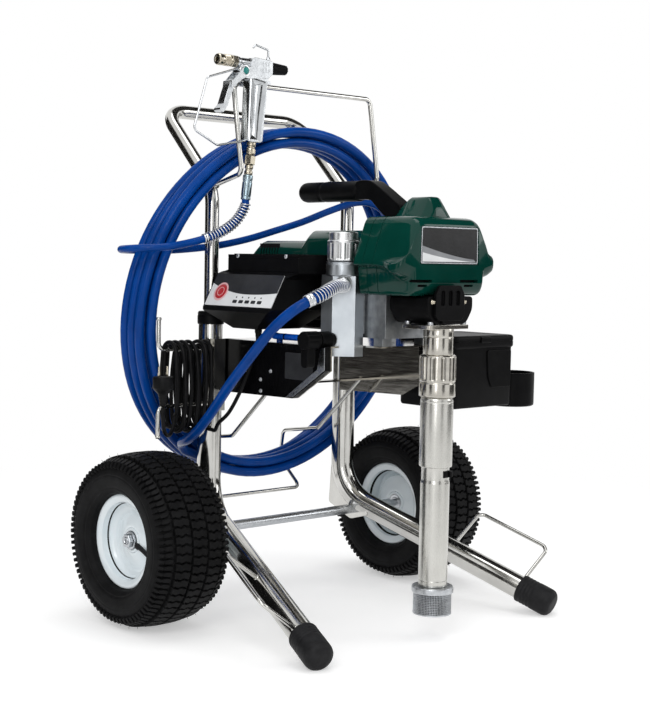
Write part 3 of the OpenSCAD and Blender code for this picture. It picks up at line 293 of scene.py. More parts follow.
def hank_point(n):
    """A point of the hank; no two turns hang alike, and every second one lies further inside."""
    u, turn = n % 24, n / 24
    half = HANK_HALF + 0.0045 * cos(pi * turn)
    low = HANK_LOW - 0.004 - 0.004 * sin(2.1 * turn)
    swing = 0.0042 * sin(2.6 * turn) * cos(2 * pi * (u - 8) / 24) + 0.0022 * sin(5.1 * turn)
    x = HANK_X - HANK_PITCH * (n - 8) / 24 + swing
    if u < 4:
        return (x, 0.002 - half - 0.005 * sin(pi * u / 4), HANK_TOP + (low - HANK_TOP) * u / 4)
    if u < 12:
        a = radians(22.5 * (u - 4))
        return (x, 0.002 - half * cos(a), low - half * sin(a))
    if u < 16:
        return (x, 0.002 + half + 0.005 * sin(pi * (u - 12) / 4),
            low + (HANK_TOP - low) * (u - 12) / 4)
    a = radians(22.5 * (u - 16))
    return (x, 0.002 + half * cos(a), HANK_TOP + half * sin(a))


hank = [hank_point(n) for n in np.arange(8, 27 + 24 * 11 + 1e-9, 0.5)]
gland_at = np.array((-0.172, -0.100, 0.564))
plug_at = np.array((-0.366, -0.058, 0.420))
hank_in = np.array(hank[0]) - (0, 0.0076, 0)
hank_out = np.array(hank[-1]) - (0, 0, 0.0076)
cable_path = np.vstack([[gland_at],
        smooth_path([gland_at - (0, 0, 0.0076), gland_at - (0, 0, 0.014), (-0.174, -0.097, 0.532),
            (-0.180, -0.084, 0.486), (-0.188, -0.066, 0.440), (-0.199, -0.047, 0.400),
            (-0.209, -0.028, 0.378), hank_in - (0, 0.011, 0), hank_in], 6), hank,
        smooth_path([hank_out, hank_out - (0, 0, 0.0074), (-0.311, -0.021, 0.396),
            (-0.319, -0.026, 0.374), (-0.338, -0.040, 0.364), (-0.358, -0.053, 0.374),
            plug_at - (0, 0, 0.018), plug_at - (0, 0, 0.0076)], 6), [plug_at]])
mains_cable = tube("mains_cable", cable_path, CABLE, 12, up=(1, 0, 0))

# %% [markdown]
# ## Plates, turned parts and rounded edges
# Most machined and moulded parts are one of two things: an outline pushed through a thickness,
# or a profile turned round an axis. Cuts are made with booleans while the edges are still sharp,
# and a bevel comes last, so that every edge catches the light as a real edge does.

# %% Outlines and plates
def rounded(points, cut, steps=3, closed=True):
    """An outline with its corners curved; cut is how much of each edge they take."""
    p = [np.asarray(q, float) for q in points]
    n, out = len(p), []
    cuts = [cut] * n if np.isscalar(cut) else cut
    for i in range(n):
        if cuts[i] == 0 or (not closed and i in (0, n - 1)):
            out.append(p[i])
            continue
        before, after = p[i - 1] - p[i], p[(i + 1) % n] - p[i]
        a = p[i] + before * min(0.45, cuts[i] / np.linalg.norm(before))
        b = p[i] + after * min(0.45, cuts[i] / np.linalg.norm(after))
        out += [(1 - t) ** 2 * a + 2 * t * (1 - t) * p[i] + t * t * b
            for t in np.arange(steps + 1) / steps]
    return out


def in_space(axis, u, v, w):
    """A drawing's u, v and its depth w as a point; X plates are drawn in Y and Z."""
    return {"X": (w, u, v), "Y": (u, w, v), "Z": (u, v, w)}[axis]


def loft(name, rings, sharp=30.0):
    """A closed skin over rings of equally many points, in millimetres."""
    mesh = bmesh.new()
    rows = [[mesh.verts.new([c * MM for c in q]) for q in ring] for ring in rings]
    count = len(rows[0])
    for a, b in zip(rows, rows[1:]):
        for k in range(count):
            mesh.faces.new((a[k], a[(k + 1) % count], b[(k + 1) % count], b[k]))
    mesh.faces.new(rows[0][::-1])
    mesh.faces.new(rows[-1])
    return finish_mesh(name, mesh, sharp)


def plate(name, axis, points, low, high, cut=0.0, steps=3):
    """An outline pushed along an axis from low to high, in millimetres."""
    shape = rounded(points, cut, steps) if np.any(cut) else points
    return loft(name, [[in_space(axis, q[0], q[1], w) for q in shape] for w in (low, high)])


def block(name, low, high):
    """A box from corner to corner."""
    (a, b, c), (d, e, f) = low, high
    return plate(name, "Z", [(a, b), (d, b), (d, e), (a, e)], c, f)

# %% Turned parts
def across(way):
    """Two directions square to way and to each other."""
    way = unit(way)
    side = np.cross(way, (0, 0, 1)) if abs(way[2]) < 0.9 else np.array((1.0, 0, 0))
    side = unit(side - way * (side @ way))
    return side, np.cross(way, side)


def turned(name, profile, at=(0, 0, 0), way=(0, 0, 1), sides=64, cut=0.6, closed=False, wave=None,
    sharp=30.0):
    """A profile of (radius, height) turned round a line; wave changes the radius."""
    shape = rounded(profile, cut, 2, closed) if cut else [np.asarray(q, float) for q in profile]
    side, other = across(way)
    way, at = unit(way), np.asarray(at, float)
    mesh, rows = bmesh.new(), []
    for r, h in shape:
        row = []
        if r < 1e-6:
            row = [mesh.verts.new((at + h * way) * MM)]
        else:
            for k in range(sides):
                a = 2 * pi * k / sides
                rr = r if wave is None else wave(r, h, a)
                row.append(mesh.verts.new((at + h * way + rr * (cos(a) * side + sin(a) * other))
                        * MM))
        rows.append(row)
    uv = mesh.loops.layers.uv.new("UVMap")
    pairs = list(zip(rows, rows[1:] + rows[:1] if closed else rows[1:]))
    for i, (a, b) in enumerate(pairs):
        for k in range(sides):
            m = (k + 1) % sides
            if len(a) == 1 and len(b) == 1:
                continue
            corners = (a[0], b[m], b[k]) if len(a) == 1 else (a[k], a[m],
                b[0]) if len(b) == 1 else (a[k], a[m], b[m], b[k])
            face = mesh.faces.new(corners)
            for loop in face.loops:
                loop[uv].uv = ((k + (loop.vert in (a[m % len(a)], b[m % len(b)]))) / sides,
                    i / len(pairs))
    return finish_mesh(name, mesh, sharp)


def rod(name, a, b, radius, sides=24, cut=0.4):
    """A plain round bar between two points, its ends slightly rounded."""
    a, b = np.asarray(a, float), np.asarray(b, float)
    long = float(np.linalg.norm(b - a))
    return turned(name, [(0, 0), (radius, 0), (radius, long), (0, long)], a, b - a, sides, cut)

# %% Cutting, joining and rounding
def remove(*things):
    for thing in things:
        bpy.data.objects.remove(thing)


def flatten(piece):
    """Applies a piece's modifiers, so that what they made is its plain mesh."""
    shown = piece.evaluated_get(bpy.context.evaluated_depsgraph_get())
    data = bpy.data.meshes.new_from_object(shown)
    piece.modifiers.clear()
    piece.data = data
    return piece


def combine(piece, how, *tools):
    """Cuts tools out of a piece, joins them or keeps what they share; how names it."""
    for tool in tools:
        change = piece.modifiers.new("change", "BOOLEAN")
        change.operation, change.object, change.solver = how, tool, "EXACT"
        flatten(piece)
    remove(*tools)
    return piece


def group(name, *pieces):
    """Several loose pieces as one object."""
    mesh = bmesh.new()
    for piece in pieces:
        mesh.from_mesh(piece.data)
    remove(*pieces)
    data = bpy.data.meshes.new(name)
    mesh.to_mesh(data)
    mesh.free()
    return new_object(name, data)


def soften(piece, width, segments=2, angle=28.0):
    """Rounds every edge that turns more than angle degrees; width is in millimetres."""
    bevel = piece.modifiers.new("edges", "BEVEL")
    bevel.width, bevel.segments, bevel.limit_method = width * MM, segments, "ANGLE"
    bevel.angle_limit, bevel.harden_normals = radians(angle), True
    bevel.use_clamp_overlap = True
    piece.data.shade_smooth()
    return piece


def eased(piece, width, segments=2):
    """The same, with the bevel applied, for a piece that is joined to others next."""
    return flatten(soften(piece, width, segments))

# %% [markdown]
# ## Geometry nodes for what repeats
# Screws, slats, tread blocks, flutes and spring wires repeat one shape. A small node tree places
# the copies, makes them real and gives them their material, and the result becomes a plain mesh.

# %% Node trees
def add(tree, kind, inputs=None, **settings):
    """Adds a node; inputs are plain values, sockets, or nodes that feed their first output."""
    made = tree.nodes.new(kind)
    for key, value in settings.items():
        setattr(made, key, value)
    for key, value in (inputs or {}).items():
        if isinstance(value, bpy.types.Node):
            value = value.outputs[0]
        if isinstance(value, bpy.types.NodeSocket):
            tree.links.new(value, made.inputs[key])
        else:
            made.inputs[key].default_value = value
    return made


def new_tree(name, **named):
    """A geometry tree with named inputs, such as Radius="Float"."""
    tree = bpy.data.node_groups.new(name, "GeometryNodeTree")
    for key, kind in named.items():
        tree.interface.new_socket(key, in_out="INPUT", socket_type="NodeSocket" + kind)
    tree.interface.new_socket("Geometry", in_out="OUTPUT", socket_type="NodeSocketGeometry")
    start = tree.nodes.new("NodeGroupInput")
    return tree, start.outputs


def end_tree(tree, instances, finish):
    """Makes the copies real, sets their material and sends them out."""
    real = add(tree, "GeometryNodeRealizeInstances", {"Geometry": instances})
    coated = add(tree, "GeometryNodeSetMaterial", {"Geometry": real, "Material": finish})
    add(tree, "NodeGroupOutput", {"Geometry": coated})


def grow(name, tree, **values):
    """Runs a tree with the given inputs and keeps what it made as a plain mesh."""
    holder = new_object(name, bpy.data.meshes.new(name))
    change = holder.modifiers.new("grow", "NODES")
    change.node_group = tree
    for item in tree.interface.items_tree:
        if item.in_out == "INPUT" and item.name in values:
            change[item.identifier] = values[item.name]
    return flatten(holder)

# %% Copies on spots
copies_tree, spots_in = new_tree("copies_on_spots", Spots="Object", Shape="Object",
    Finish="Material")
spots = add(copies_tree, "GeometryNodeObjectInfo", {"Object": spots_in["Spots"]})
shape = add(copies_tree, "GeometryNodeObjectInfo", {"Object": spots_in["Shape"]})
way_in = add(copies_tree, "GeometryNodeInputNamedAttribute", {"Name": "way"},
    data_type="FLOAT_VECTOR")
spin_in = add(copies_tree, "GeometryNodeInputNamedAttribute", {"Name": "spin"}, data_type="FLOAT")
aimed = add(copies_tree, "FunctionNodeAlignRotationToVector", {"Vector": way_in}, axis="Z")
local_turn = add(copies_tree, "FunctionNodeAxisAngleToRotation",
    {"Axis": (0, 0, 1), "Angle": spin_in})
spun = add(copies_tree, "FunctionNodeRotateRotation", {"Rotation": aimed, "Rotate By": local_turn},
    rotation_space="LOCAL")
copies = add(copies_tree, "GeometryNodeInstanceOnPoints",
    {"Points": spots.outputs["Geometry"], "Instance": shape.outputs["Geometry"], "Rotation": spun})
end_tree(copies_tree, copies, spots_in["Finish"])
print("nodes that copy:", len(copies_tree.nodes))

# %% Copies by their places
def copies_on(name, shape, finish, places):
    """Copies of a shape, drawn along +Z at the origin, on (point in mm, direction, spin) places."""
    data = bpy.data.meshes.new("spots")
    data.from_pydata([[c * MM for c in place[0]] for place in places], [], [])
    data.attributes.new("way", "FLOAT_VECTOR", "POINT").data.foreach_set("vector",
        [c for q in places for c in q[1]])
    data.attributes.new("spin", "FLOAT", "POINT").data.foreach_set("value",
        [(q[2] if len(q) > 2 else 0.0) for q in places])
    holder = new_object("spots", data)
    made = grow(name, copies_tree, Spots=holder, Shape=shape, Finish=finish)
    remove(holder)
    return made

# %% [markdown]
# ## Finishes
# Every finish starts from its real material: what it is called, how its surface was made, and what
# that gives the eye. One helper builds the usual network: large blotches mix two close colours, and
# a fine grain, sized in millimetres, changes the roughness and raises a little relief.

# %% Colour and shader helpers
def colour(hex_value):
    """An sRGB hex colour as the linear values that the shader takes."""
    parts = [int(hex_value[i : i + 2], 16) / 255 for i in (1, 3, 5)]
    return (*[v / 12.92 if v <= 0.04045 else ((v + 0.055) / 1.055) ** 2.4 for v in parts], 1.0)


def new_finish(name, **shader):
    """A material with one principled shader; plain values sit on the shader's own sockets."""
    made = bpy.data.materials.new(name)
    made.use_nodes = True
    made.node_tree.nodes.clear()
    values = {key.replace("_", " "): value for key, value in shader.items()}
    surface = add(made.node_tree, "ShaderNodeBsdfPrincipled", values)
    add(made.node_tree, "ShaderNodeOutputMaterial", {"Surface": surface})
    return made, made.node_tree, surface


def grainy(name, dark, light, rough, grain_mm, relief_mm, blotch_mm=40.0, stretch=(1, 1, 1),
    uv=False, **shader):
    """Two close colours in blotches, and a grain of real size in roughness and relief."""
    made, tree, surface = new_finish(name, **shader)
    place = add(tree, "ShaderNodeTexCoord").outputs["UV" if uv else "Object"]
    stretched = add(tree, "ShaderNodeMapping", {"Vector": place, "Scale": stretch}).outputs[0]
    blotches = add(tree, "ShaderNodeTexNoise",
        {"Vector": place, "Scale": 1000 / blotch_mm, "Detail": 4.0})
    grain = add(tree, "ShaderNodeTexNoise",
        {"Vector": stretched, "Scale": 1000 / grain_mm, "Detail": 3.0})
    mixed = add(tree, "ShaderNodeValToRGB", {"Fac": blotches})
    mixed.color_ramp.elements[0].position, mixed.color_ramp.elements[1].position = 0.3, 0.7
    mixed.color_ramp.elements[0].color = colour(dark)
    mixed.color_ramp.elements[1].color = colour(light)
    spread = add(tree, "ShaderNodeMapRange",
        {"Value": grain, "From Min": 0.3, "From Max": 0.7, "To Min": rough[0], "To Max": rough[1]})
    relief = add(tree, "ShaderNodeBump",
        {"Height": grain, "Strength": 1.0, "Distance": relief_mm * MM})
    tree.links.new(mixed.outputs[0], surface.inputs["Base Color"])
    tree.links.new(spread.outputs[0], surface.inputs["Roughness"])
    tree.links.new(relief.outputs[0], surface.inputs["Normal"])
    return made


FINISH = {}

# %% [markdown]
# Metals keep their full reflection. What tells them apart is how they were finished: plated,
# turned, cast, drawn or polished, so colour, roughness and the direction of the grain change.

# %% Metals
# Bright chrome on steel tube: a mirror with faint polishing waves and smudges.
FINISH["chromed_tube"] = grainy("bright_chrome", "#c0bfbb", "#d0cfcb", (0.10, 0.17), 14.0, 0.012,
    60.0, Metallic=1.0)
# Zinc plated steel: pale with a slight blue cast, a little cloudy where the bath ran off.
FINISH["zinc_steel"] = grainy("zinc_plate", "#b3b6ba", "#c6c9cc", (0.24, 0.34), 1.5, 0.012, 8.0,
    Metallic=1.0)
# Polished 304 stainless sheet: near mirror with long rolling lines along the cart.
FINISH["polished_sheet"] = grainy("polished_stainless", "#aeaba5", "#c4c1ba", (0.08, 0.16), 3.0,
    0.01, 80.0, stretch=(1, 0.06, 1), Metallic=1.0)
# Enamelled copper wire of the windings: brown orange with fine turns.
FINISH["copper_winding"] = grainy("enamelled_copper", "#8a4a22", "#c37a3f", (0.25, 0.4), 1.0, 0.2,
    10.0, Metallic=1.0)
# Die cast aluminium: grey, grainy, dull in the flats.
FINISH["cast_aluminium"] = grainy("cast_aluminium", "#86898c", "#a2a5a8", (0.38, 0.52), 1.2, 0.05,
    14.0, Metallic=1.0)
# Turned and ground steel: fine rings from the tool, bright and slightly warm.
FINISH["machined_steel"] = grainy("turned_steel", "#b4b0a8", "#c6c3bb", (0.15, 0.22), 1.1, 0.01,
    20.0, stretch=(0.08, 0.08, 1), Metallic=1.0)
# Drawn aluminium tube, satin anodised: pale, with faint lines along the tube.
FINISH["aluminium_tube"] = grainy("satin_aluminium", "#c2c1bc", "#cccbc6", (0.24, 0.29), 1.2, 0.003,
    40.0, stretch=(1, 1, 0.05), Metallic=1.0)
# Machined aluminium block, clear anodised: silver grey, silky, with lines up the faces.
FINISH["aluminium_block"] = grainy("anodised_aluminium", "#9ea3a8", "#b0b5b9", (0.28, 0.38), 1.0,
    0.015, 40.0, stretch=(1, 1, 0.04), Metallic=1.0)
# Polished aluminium casting of the gun: bright and soft, with buffing haze.
FINISH["gun_aluminium"] = grainy("buffed_aluminium", "#b9bcbf", "#cfd2d4", (0.12, 0.20), 6.0, 0.01,
    18.0, Metallic=1.0)
# Nickel plated brass fittings: warm grey with a yellow cast in the grooves.
FINISH["nickel_brass"] = grainy("nickelled_brass", "#b3a995", "#c9c2b2", (0.14, 0.24), 2.0, 0.012,
    6.0, Metallic=1.0)
# Bright hard-drawn spring wire: clean steel with die lines.
FINISH["spring_wire"] = grainy("spring_steel", "#c3c6ca", "#d8dadc", (0.10, 0.20), 1.2, 0.01, 10.0,
    Metallic=1.0)
# Yellow brass of the cover's cap nuts.
FINISH["brass"] = grainy("yellow_brass", "#b8914f", "#d3ac68", (0.16, 0.26), 1.5, 0.012, 5.0,
    Metallic=1.0)
# Blue passivated steel ferrule of the hose.
FINISH["blue_grey_steel"] = grainy("blued_ferrule", "#8fa3ad", "#aebec6", (0.12, 0.22), 1.2, 0.01,
    12.0, Metallic=1.0)
# Bright turned aluminium of the filter cap.
FINISH["bright_cap"] = grainy("bright_turned_aluminium", "#d2d3d4", "#e0e1e1", (0.26, 0.32), 1.4,
    0.008, 20.0, Metallic=1.0)
print("metals:", len(FINISH))

# %% [markdown]
# Moulded plastics take their gloss from the mould. Rubber is dull, and paint and lacquer carry a
# clear coat on top.

# %% Plastics, rubber and paint
# Moulded SBR foot rubber: near black, dull, with a fine sandy skin and grey dust in it.
FINISH["black_rubber"] = grainy("foot_rubber", "#101012", "#1e1e20", (0.5, 0.66), 0.9, 0.10, 12.0,
    IOR=1.52, Specular_IOR_Level=0.2)
# Black ABS from a spark-eroded mould: an even fine grain that breaks up every reflection.
FINISH["black_plastic"] = grainy("black_abs", "#070708", "#0e0e0f", (0.34, 0.46), 0.8, 0.03, 25.0,
    IOR=1.53, Specular_IOR_Level=0.07)
# Black powder coat on steel sheet: glossy with the orange peel of melted powder.
FINISH["black_paint"] = grainy("black_powder_coat", "#060607", "#0e0e10", (0.14, 0.22), 3.5, 0.03,
    30.0, IOR=1.5, Specular_IOR_Level=0.08, Coat_Weight=0.14, Coat_Roughness=0.08)
# Tyre rubber: carbon black compound, matt on the blocks, with a little bloom and dust.
FINISH["tyre_rubber"] = grainy("tyre_rubber", "#09090a", "#161617", (0.5, 0.66), 1.4, 0.12, 22.0,
    IOR=1.52, Specular_IOR_Level=0.1)
# Stove enamel on the steel rim: glossy white with a hint of blue.
FINISH["rim_paint"] = grainy("white_enamel", "#eaf4f9", "#f2f9fc", (0.14, 0.22), 5.0, 0.02, 60.0,
    IOR=1.5, Coat_Weight=0.6, Coat_Roughness=0.06)
# Glossy ABS, dyed in the mass: a deep bluish green whose skin has a very faint ripple.
FINISH["green_plastic"] = grainy("green_gloss_abs", "#02332b", "#053d34", (0.08, 0.14), 9.0, 0.014,
    90.0, IOR=1.5, Specular_IOR_Level=0.1, Coat_Weight=0.3, Coat_Roughness=0.04)
# Blue polyethylene drain hose: bright and slightly waxy.
FINISH["light_blue_hose"] = grainy("blue_polyethylene", "#0550c4", "#0f66dd", (0.22, 0.34), 3.0,
    0.05, 20.0, IOR=1.5, Subsurface_Weight=0.1, Subsurface_Radius=(0.002, 0.002, 0.004))
# Polyamide hose jacket: deep blue, satin, with fine extrusion lines along the hose.
FINISH["blue_hose"] = grainy("hose_jacket", "#023a84", "#05479c", (0.20, 0.30), 2.0, 0.02, 55.0,
    IOR=1.5, Specular_IOR_Level=0.04, Coat_Weight=0.16, Coat_Roughness=0.12)
# Chloroprene cable jacket: black, slightly greasy, with a talc bloom.
FINISH["cable_jacket"] = grainy("cable_rubber", "#0a0a0b", "#171718", (0.34, 0.48), 1.6, 0.04, 15.0,
    IOR=1.5, Specular_IOR_Level=0.1)
# Teal polypropylene cap on the trigger's pin.
FINISH["teal_cap"] = grainy("teal_cap", "#0b6f6a", "#118a83", (0.25, 0.35), 1.0, 0.02, 6.0, IOR=1.5,
    Specular_IOR_Level=0.35)
# Painted shade: a black, dull sheet that stands for the unlit inside behind slots and vents and
# inside the strainer basket.
FINISH["painted_shade_inside"] = grainy("painted_shade_inside", "#050506", "#0b0b0c", (0.6, 0.8), 1.0, 0.05, 10.0,
    Specular_IOR_Level=0.15)
print("with plastics, rubber and paint:", len(FINISH))

# %% [markdown]
# Plates and keys are printed films: flat ink under thin polyester with a fine satin tooth.

# %% Films
# Printed polycarbonate plate: dark satin with a soft grey shimmer.
FINISH["badge"] = grainy("dark_name_plate", "#141415", "#222224", (0.24, 0.34), 0.7, 0.008, 35.0,
    IOR=1.5, Specular_IOR_Level=0.3)
# Printed polyester film: white with a fine satin tooth.
FINISH["panel_film"] = grainy("white_film", "#e4e6e7", "#eff0f1", (0.28, 0.38), 0.7, 0.01, 30.0,
    IOR=1.57)
# Dark grey ink under the same polyester film.
FINISH["dark_film"] = grainy("grey_film", "#26272a", "#333437", (0.26, 0.36), 0.7, 0.01, 30.0,
    IOR=1.5, Specular_IOR_Level=0.3)
# Red ink of the switch under the film.
FINISH["red_film"] = grainy("red_film", "#b4232c", "#c9343c", (0.26, 0.36), 0.7, 0.01, 15.0,
    IOR=1.5, Specular_IOR_Level=0.3)
# Pale red ink of the ring round the switch.
FINISH["pink_film"] = grainy("pale_red_film", "#e9aeb0", "#efc0c1", (0.26, 0.36), 0.7, 0.01, 15.0,
    IOR=1.57)
# Silver grey ink on the name plate.
FINISH["silver_film"] = grainy("silver_grey_film", "#84868a", "#96989b", (0.26, 0.36), 0.7, 0.01,
    30.0, IOR=1.5, Specular_IOR_Level=0.3)
print("finishes:", len(FINISH))

# %% Putting a piece in place
def tell(*names):
    """Prints the size in millimetres of pieces that a cell made."""
    for name in names:
        data = bpy.data.objects[name].data
        corners = np.empty(len(data.vertices) * 3)
        data.vertices.foreach_get("co", corners)
        size = np.ptp(corners.reshape(-1, 3), axis=0) / MM
        print(name, " x ".join(f"{side:.0f}" for side in size), "mm")


def dress(piece, slot, body="frame", nodes=(), finish=None):
    """A piece gets its finish, from slot unless finish is given, and its body; the solids it stands
    for are hidden.
    """
    if finish or not piece.data.materials or piece.data.materials[0] is None:
        piece.data.materials.clear()
        piece.data.materials.append(FINISH[finish or slot])
    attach(piece, body)
    if nodes:
        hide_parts(*([nodes] if isinstance(nodes, str) else nodes))
    return piece


def keep_solid(node, slot, width=0.6):
    """A CAD node that is shown as it is, with merged corners, rounded edges and its finish."""
    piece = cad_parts[node]
    data = piece.data
    if "custom_normal" in data.attributes:
        data.attributes.remove(data.attributes["custom_normal"])
    data.shade_smooth()
    data.materials.clear()
    data.materials.append(FINISH[slot])
    weld = piece.modifiers.new("weld", "WELD")
    weld.merge_threshold = 0.00001
    flat = piece.modifiers.new("flat", "DECIMATE")
    flat.decimate_type, flat.angle_limit = "DISSOLVE", radians(1)
    bevel = piece.modifiers.new("edges", "BEVEL")
    bevel.width, bevel.segments, bevel.limit_method = width * MM, 2, "ANGLE"
    bevel.angle_limit, bevel.harden_normals = radians(32), True
    return piece

# %% [markdown]
# ## Screws, springs and other repeats
# A pan head screw and a socket head screw are drawn once and copied to their places.

# %% Fastener shapes
def hexagon(radius, turn=30.0):
    return [(radius * cos(radians(60 * i + turn)), radius * sin(radians(60 * i + turn)))
        for i in range(6)]


def hidden(shape):
    """A shape that is only copied, so it leaves the scene at the end."""
    PATTERNS.append(shape)
    return shape


PATTERNS = []
pan_head = hidden(combine(turned("pan_head",
            [(0, -1), (3.6, -1), (4.4, 0.3), (4.2, 1.6), (2.6, 2.7), (0, 3.0)], sides=20, cut=0.5),
        "DIFFERENCE", block("slot_a", (-2.4, -0.5, 1.8), (2.4, 0.5, 4)),
        block("slot_b", (-0.5, -2.4, 1.8), (0.5, 2.4, 4))))
socket_head = hidden(combine(turned("socket_head",
            [(0, -1), (5.6, -1), (5.8, 5.2), (5.2, 6), (0, 6)], sides=28, cut=0.5), "DIFFERENCE",
        plate("key_hole", "Z", hexagon(2.9), 3, 8)))
print("fasteners drawn:", [p.name for p in PATTERNS])

# %% [markdown]
# ## Hose and cable finishes, and the springs that guard the hose ends
# A spring guard is a steel wire wound round the hose, and it keeps the hose from kinking at its
# fitting. In the tree a line of points is bent round the hose's own curve, so the spring follows
# it whatever the curve does, and a round profile gives the wire its thickness.

# %% Spring tree
spring_tree, spring_in = new_tree("spring_round_a_curve", Path="Object", Turns="Float",
    Coil_Radius="Float", Wire_Radius="Float", Finish="Material")
WIRE_POINTS = 18 * 14
wire_line = add(spring_tree, "GeometryNodeMeshLine", {"Count": WIRE_POINTS})
wire_curve = add(spring_tree, "GeometryNodeMeshToCurve", {"Mesh": wire_line})
hose_curve = add(spring_tree, "GeometryNodeMeshToCurve",
    {"Mesh": add(spring_tree, "GeometryNodeObjectInfo",
            {"Object": spring_in["Path"]}).outputs["Geometry"]})
place_along = add(spring_tree, "ShaderNodeMath",
    {0: add(spring_tree, "GeometryNodeInputIndex").outputs[0], 1: float(WIRE_POINTS - 1)},
    operation="DIVIDE")
sampled = add(spring_tree, "GeometryNodeSampleCurve", {"Curves": hose_curve, "Factor": place_along})
whole_turn = add(spring_tree, "ShaderNodeMath", {0: place_along, 1: spring_in["Turns"]},
    operation="MULTIPLY")
wire_angle = add(spring_tree, "ShaderNodeMath", {0: whole_turn, 1: 2 * pi}, operation="MULTIPLY")
outward = add(spring_tree, "ShaderNodeVectorRotate",
    {"Vector": sampled.outputs["Normal"], "Axis": sampled.outputs["Tangent"], "Angle": wire_angle},
    rotation_type="AXIS_ANGLE")
reach = add(spring_tree, "ShaderNodeVectorMath", {0: outward, "Scale": spring_in["Coil_Radius"]},
    operation="SCALE")
wire_at = add(spring_tree, "ShaderNodeVectorMath", {0: sampled.outputs["Position"], 1: reach},
    operation="ADD")
wound = add(spring_tree, "GeometryNodeSetPosition", {"Geometry": wire_curve, "Position": wire_at})
section = add(spring_tree, "GeometryNodeCurvePrimitiveCircle",
    {"Resolution": 8, "Radius": spring_in["Wire_Radius"]})
wire = add(spring_tree, "GeometryNodeCurveToMesh",
    {"Curve": wound, "Profile Curve": section, "Fill Caps": True})
end_tree(spring_tree, wire, spring_in["Finish"])
print("nodes that wind a spring:", len(spring_tree.nodes))

# %% Springs and end rings
def spring_on(name, path, start, end, radius, turns):
    """A wire spring round a stretch of a path; lengths in metres."""
    points = [along(path, d)[0] for d in np.linspace(start, end, 60)]
    data = bpy.data.meshes.new("stretch")
    data.from_pydata([tuple(p) for p in points], [(i, i + 1) for i in range(59)], [])
    holder = new_object("stretch", data)
    made = grow(name, spring_tree, Path=holder, Turns=float(turns), Coil_Radius=radius + 0.0023,
        Wire_Radius=0.0014, Finish=FINISH["spring_wire"])
    remove(holder)
    made.data.shade_smooth()
    return made


def end_ring(name, path, start, end, radius):
    """The crimped ring behind a spring, in metres."""
    a, way = along(path, start)
    long, r = (end - start) / MM, radius / MM
    return turned(name, [(r + 0.3, 0), (r + 2.0, 0), (r + 2.6, 1.5), (r + 2.6, long * 0.4),
            (r + 1.7, long * 0.5), (r + 2.6, long * 0.6), (r + 2.6, long - 1), (r + 1.8, long),
            (r + 0.3, long)], a / MM, way, 32, 0.5, closed=True)

# %% Hose guards and couplings
pump_guard = group("pump_hose_guard", spring_on("a", pump_path, 0.006, 0.134, HOSE, 19),
    end_ring("b", pump_path, 0.137, 0.151, HOSE))
gun_guard = group("gun_hose_guard", spring_on("a", whip_path, 0.032, 0.140, WHIP, 17),
    end_ring("b", whip_path, 0.143, 0.153, WHIP))
dress(pump_guard, "spring_wire", "frame", "guard_pump")
dress(gun_guard, "spring_wire", "handle", "guard_gun")
joint_mm, joint_way = coil_last / MM, coil_last_way
side_a, side_b = across(joint_way)
nut = loft("nut", [[joint_mm + joint_way * h + f * 10 * (cos(a) * side_a + sin(a) * side_b)
            for a in np.arange(6) * pi / 3]
        for h, f in ((17.5, 0.93), (18.5, 1), (35.5, 1), (36.5, 0.93))])
coupling = group("hose_coupling_nuts",
    turned("a", [(0, 0), (10.2, 0), (11, 1), (11, 17), (10, 18), (0, 18)], joint_mm, joint_way, 40),
    nut, turned("b", [(0, 36), (8.6, 36), (9.5, 37), (9.5, 49), (8.4, 50), (0, 50)], joint_mm,
        joint_way, 40))
dress(coupling, "machined_steel", "frame", "hose_coupling")
tell("pump_hose_guard", "gun_hose_guard", "hose_coupling_nuts")

# %% Plug and strain relief
relief = turned("cable_strain_relief",
    [(0, 0), (7, 0), (7, 6)] + [(6.6 - 0.38 * i - (0.6 if i % 2 else 0), 7 + 3.2 * i)
        for i in range(8)] + [(4.2, 34), (0, 34)], gland_at / MM, (0, 0, -1), 28, 0.6)
dress(relief, "black_plastic")
plug_mm = plug_at / MM
plug_body = turned("mains_plug",
    [(0, 0)] + [(5.0 + 0.45 * i + (0.8 if i % 2 else 0), 2 + 2.8 * i) for i in range(8)]
    + [(9.5, 25), (16, 32), (18.4, 35), (19.4, 37), (19.4, 56), (18.2, 57.8), (0, 58)], plug_mm,
    (0, 0, 1), 48, 1.0)
pins = group("plug_pins", *[rod("pin", plug_mm + (x, 0, 57.5), plug_mm + (x, 0, 76.5), 2.4, 20, 0.8)
        for x in (-9.5, 9.5)])
dress(plug_body, "cable_jacket", "frame", "plug")
dress(pins, "nickel_brass")
hose_tie = turned("hose_tie", [(5.2, -2), (6.4, -2), (6.4, 2), (5.2, 2)],
    np.array((-146, -150, 551)), (0, 1, 0), 28, 0.4, closed=True)
dress(hose_tie, "black_plastic")
tell("cable_strain_relief", "mains_plug", "plug_pins")

# %% The cords dressed
pressure_hose.data.materials.append(FINISH["blue_hose"])
whip_hose.data.materials.append(FINISH["blue_hose"])
mains_cable.data.materials.append(FINISH["cable_jacket"])
dress(pressure_hose, "blue_hose", "frame", ("hose_pump_run", "hose_coil"))
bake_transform(whip_hose)
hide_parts("hose_gun_run")
dress(mains_cable, "cable_jacket", "frame", ("cable_run", "cable_coil", "cable_tail"))

# %% [markdown]
# ## The cart's tubes
# The cart is bent and welded steel tube with bright chrome on it. Each tube is drawn as its
# bending shop would write it: straight lengths and a radius at each corner.

# %% Legs and posts
LEG_SLOPE, LEG_SPLAY = radians(19.8), radians(15.2)
POST_X, POST_Y, KNEE_Z, LEG_LENGTH = 184, 32, 199, 516


def leg_way(side):
    return np.array((side * sin(LEG_SPLAY) * cos(LEG_SLOPE), -cos(LEG_SPLAY) * cos(LEG_SLOPE),
            -sin(LEG_SLOPE)))


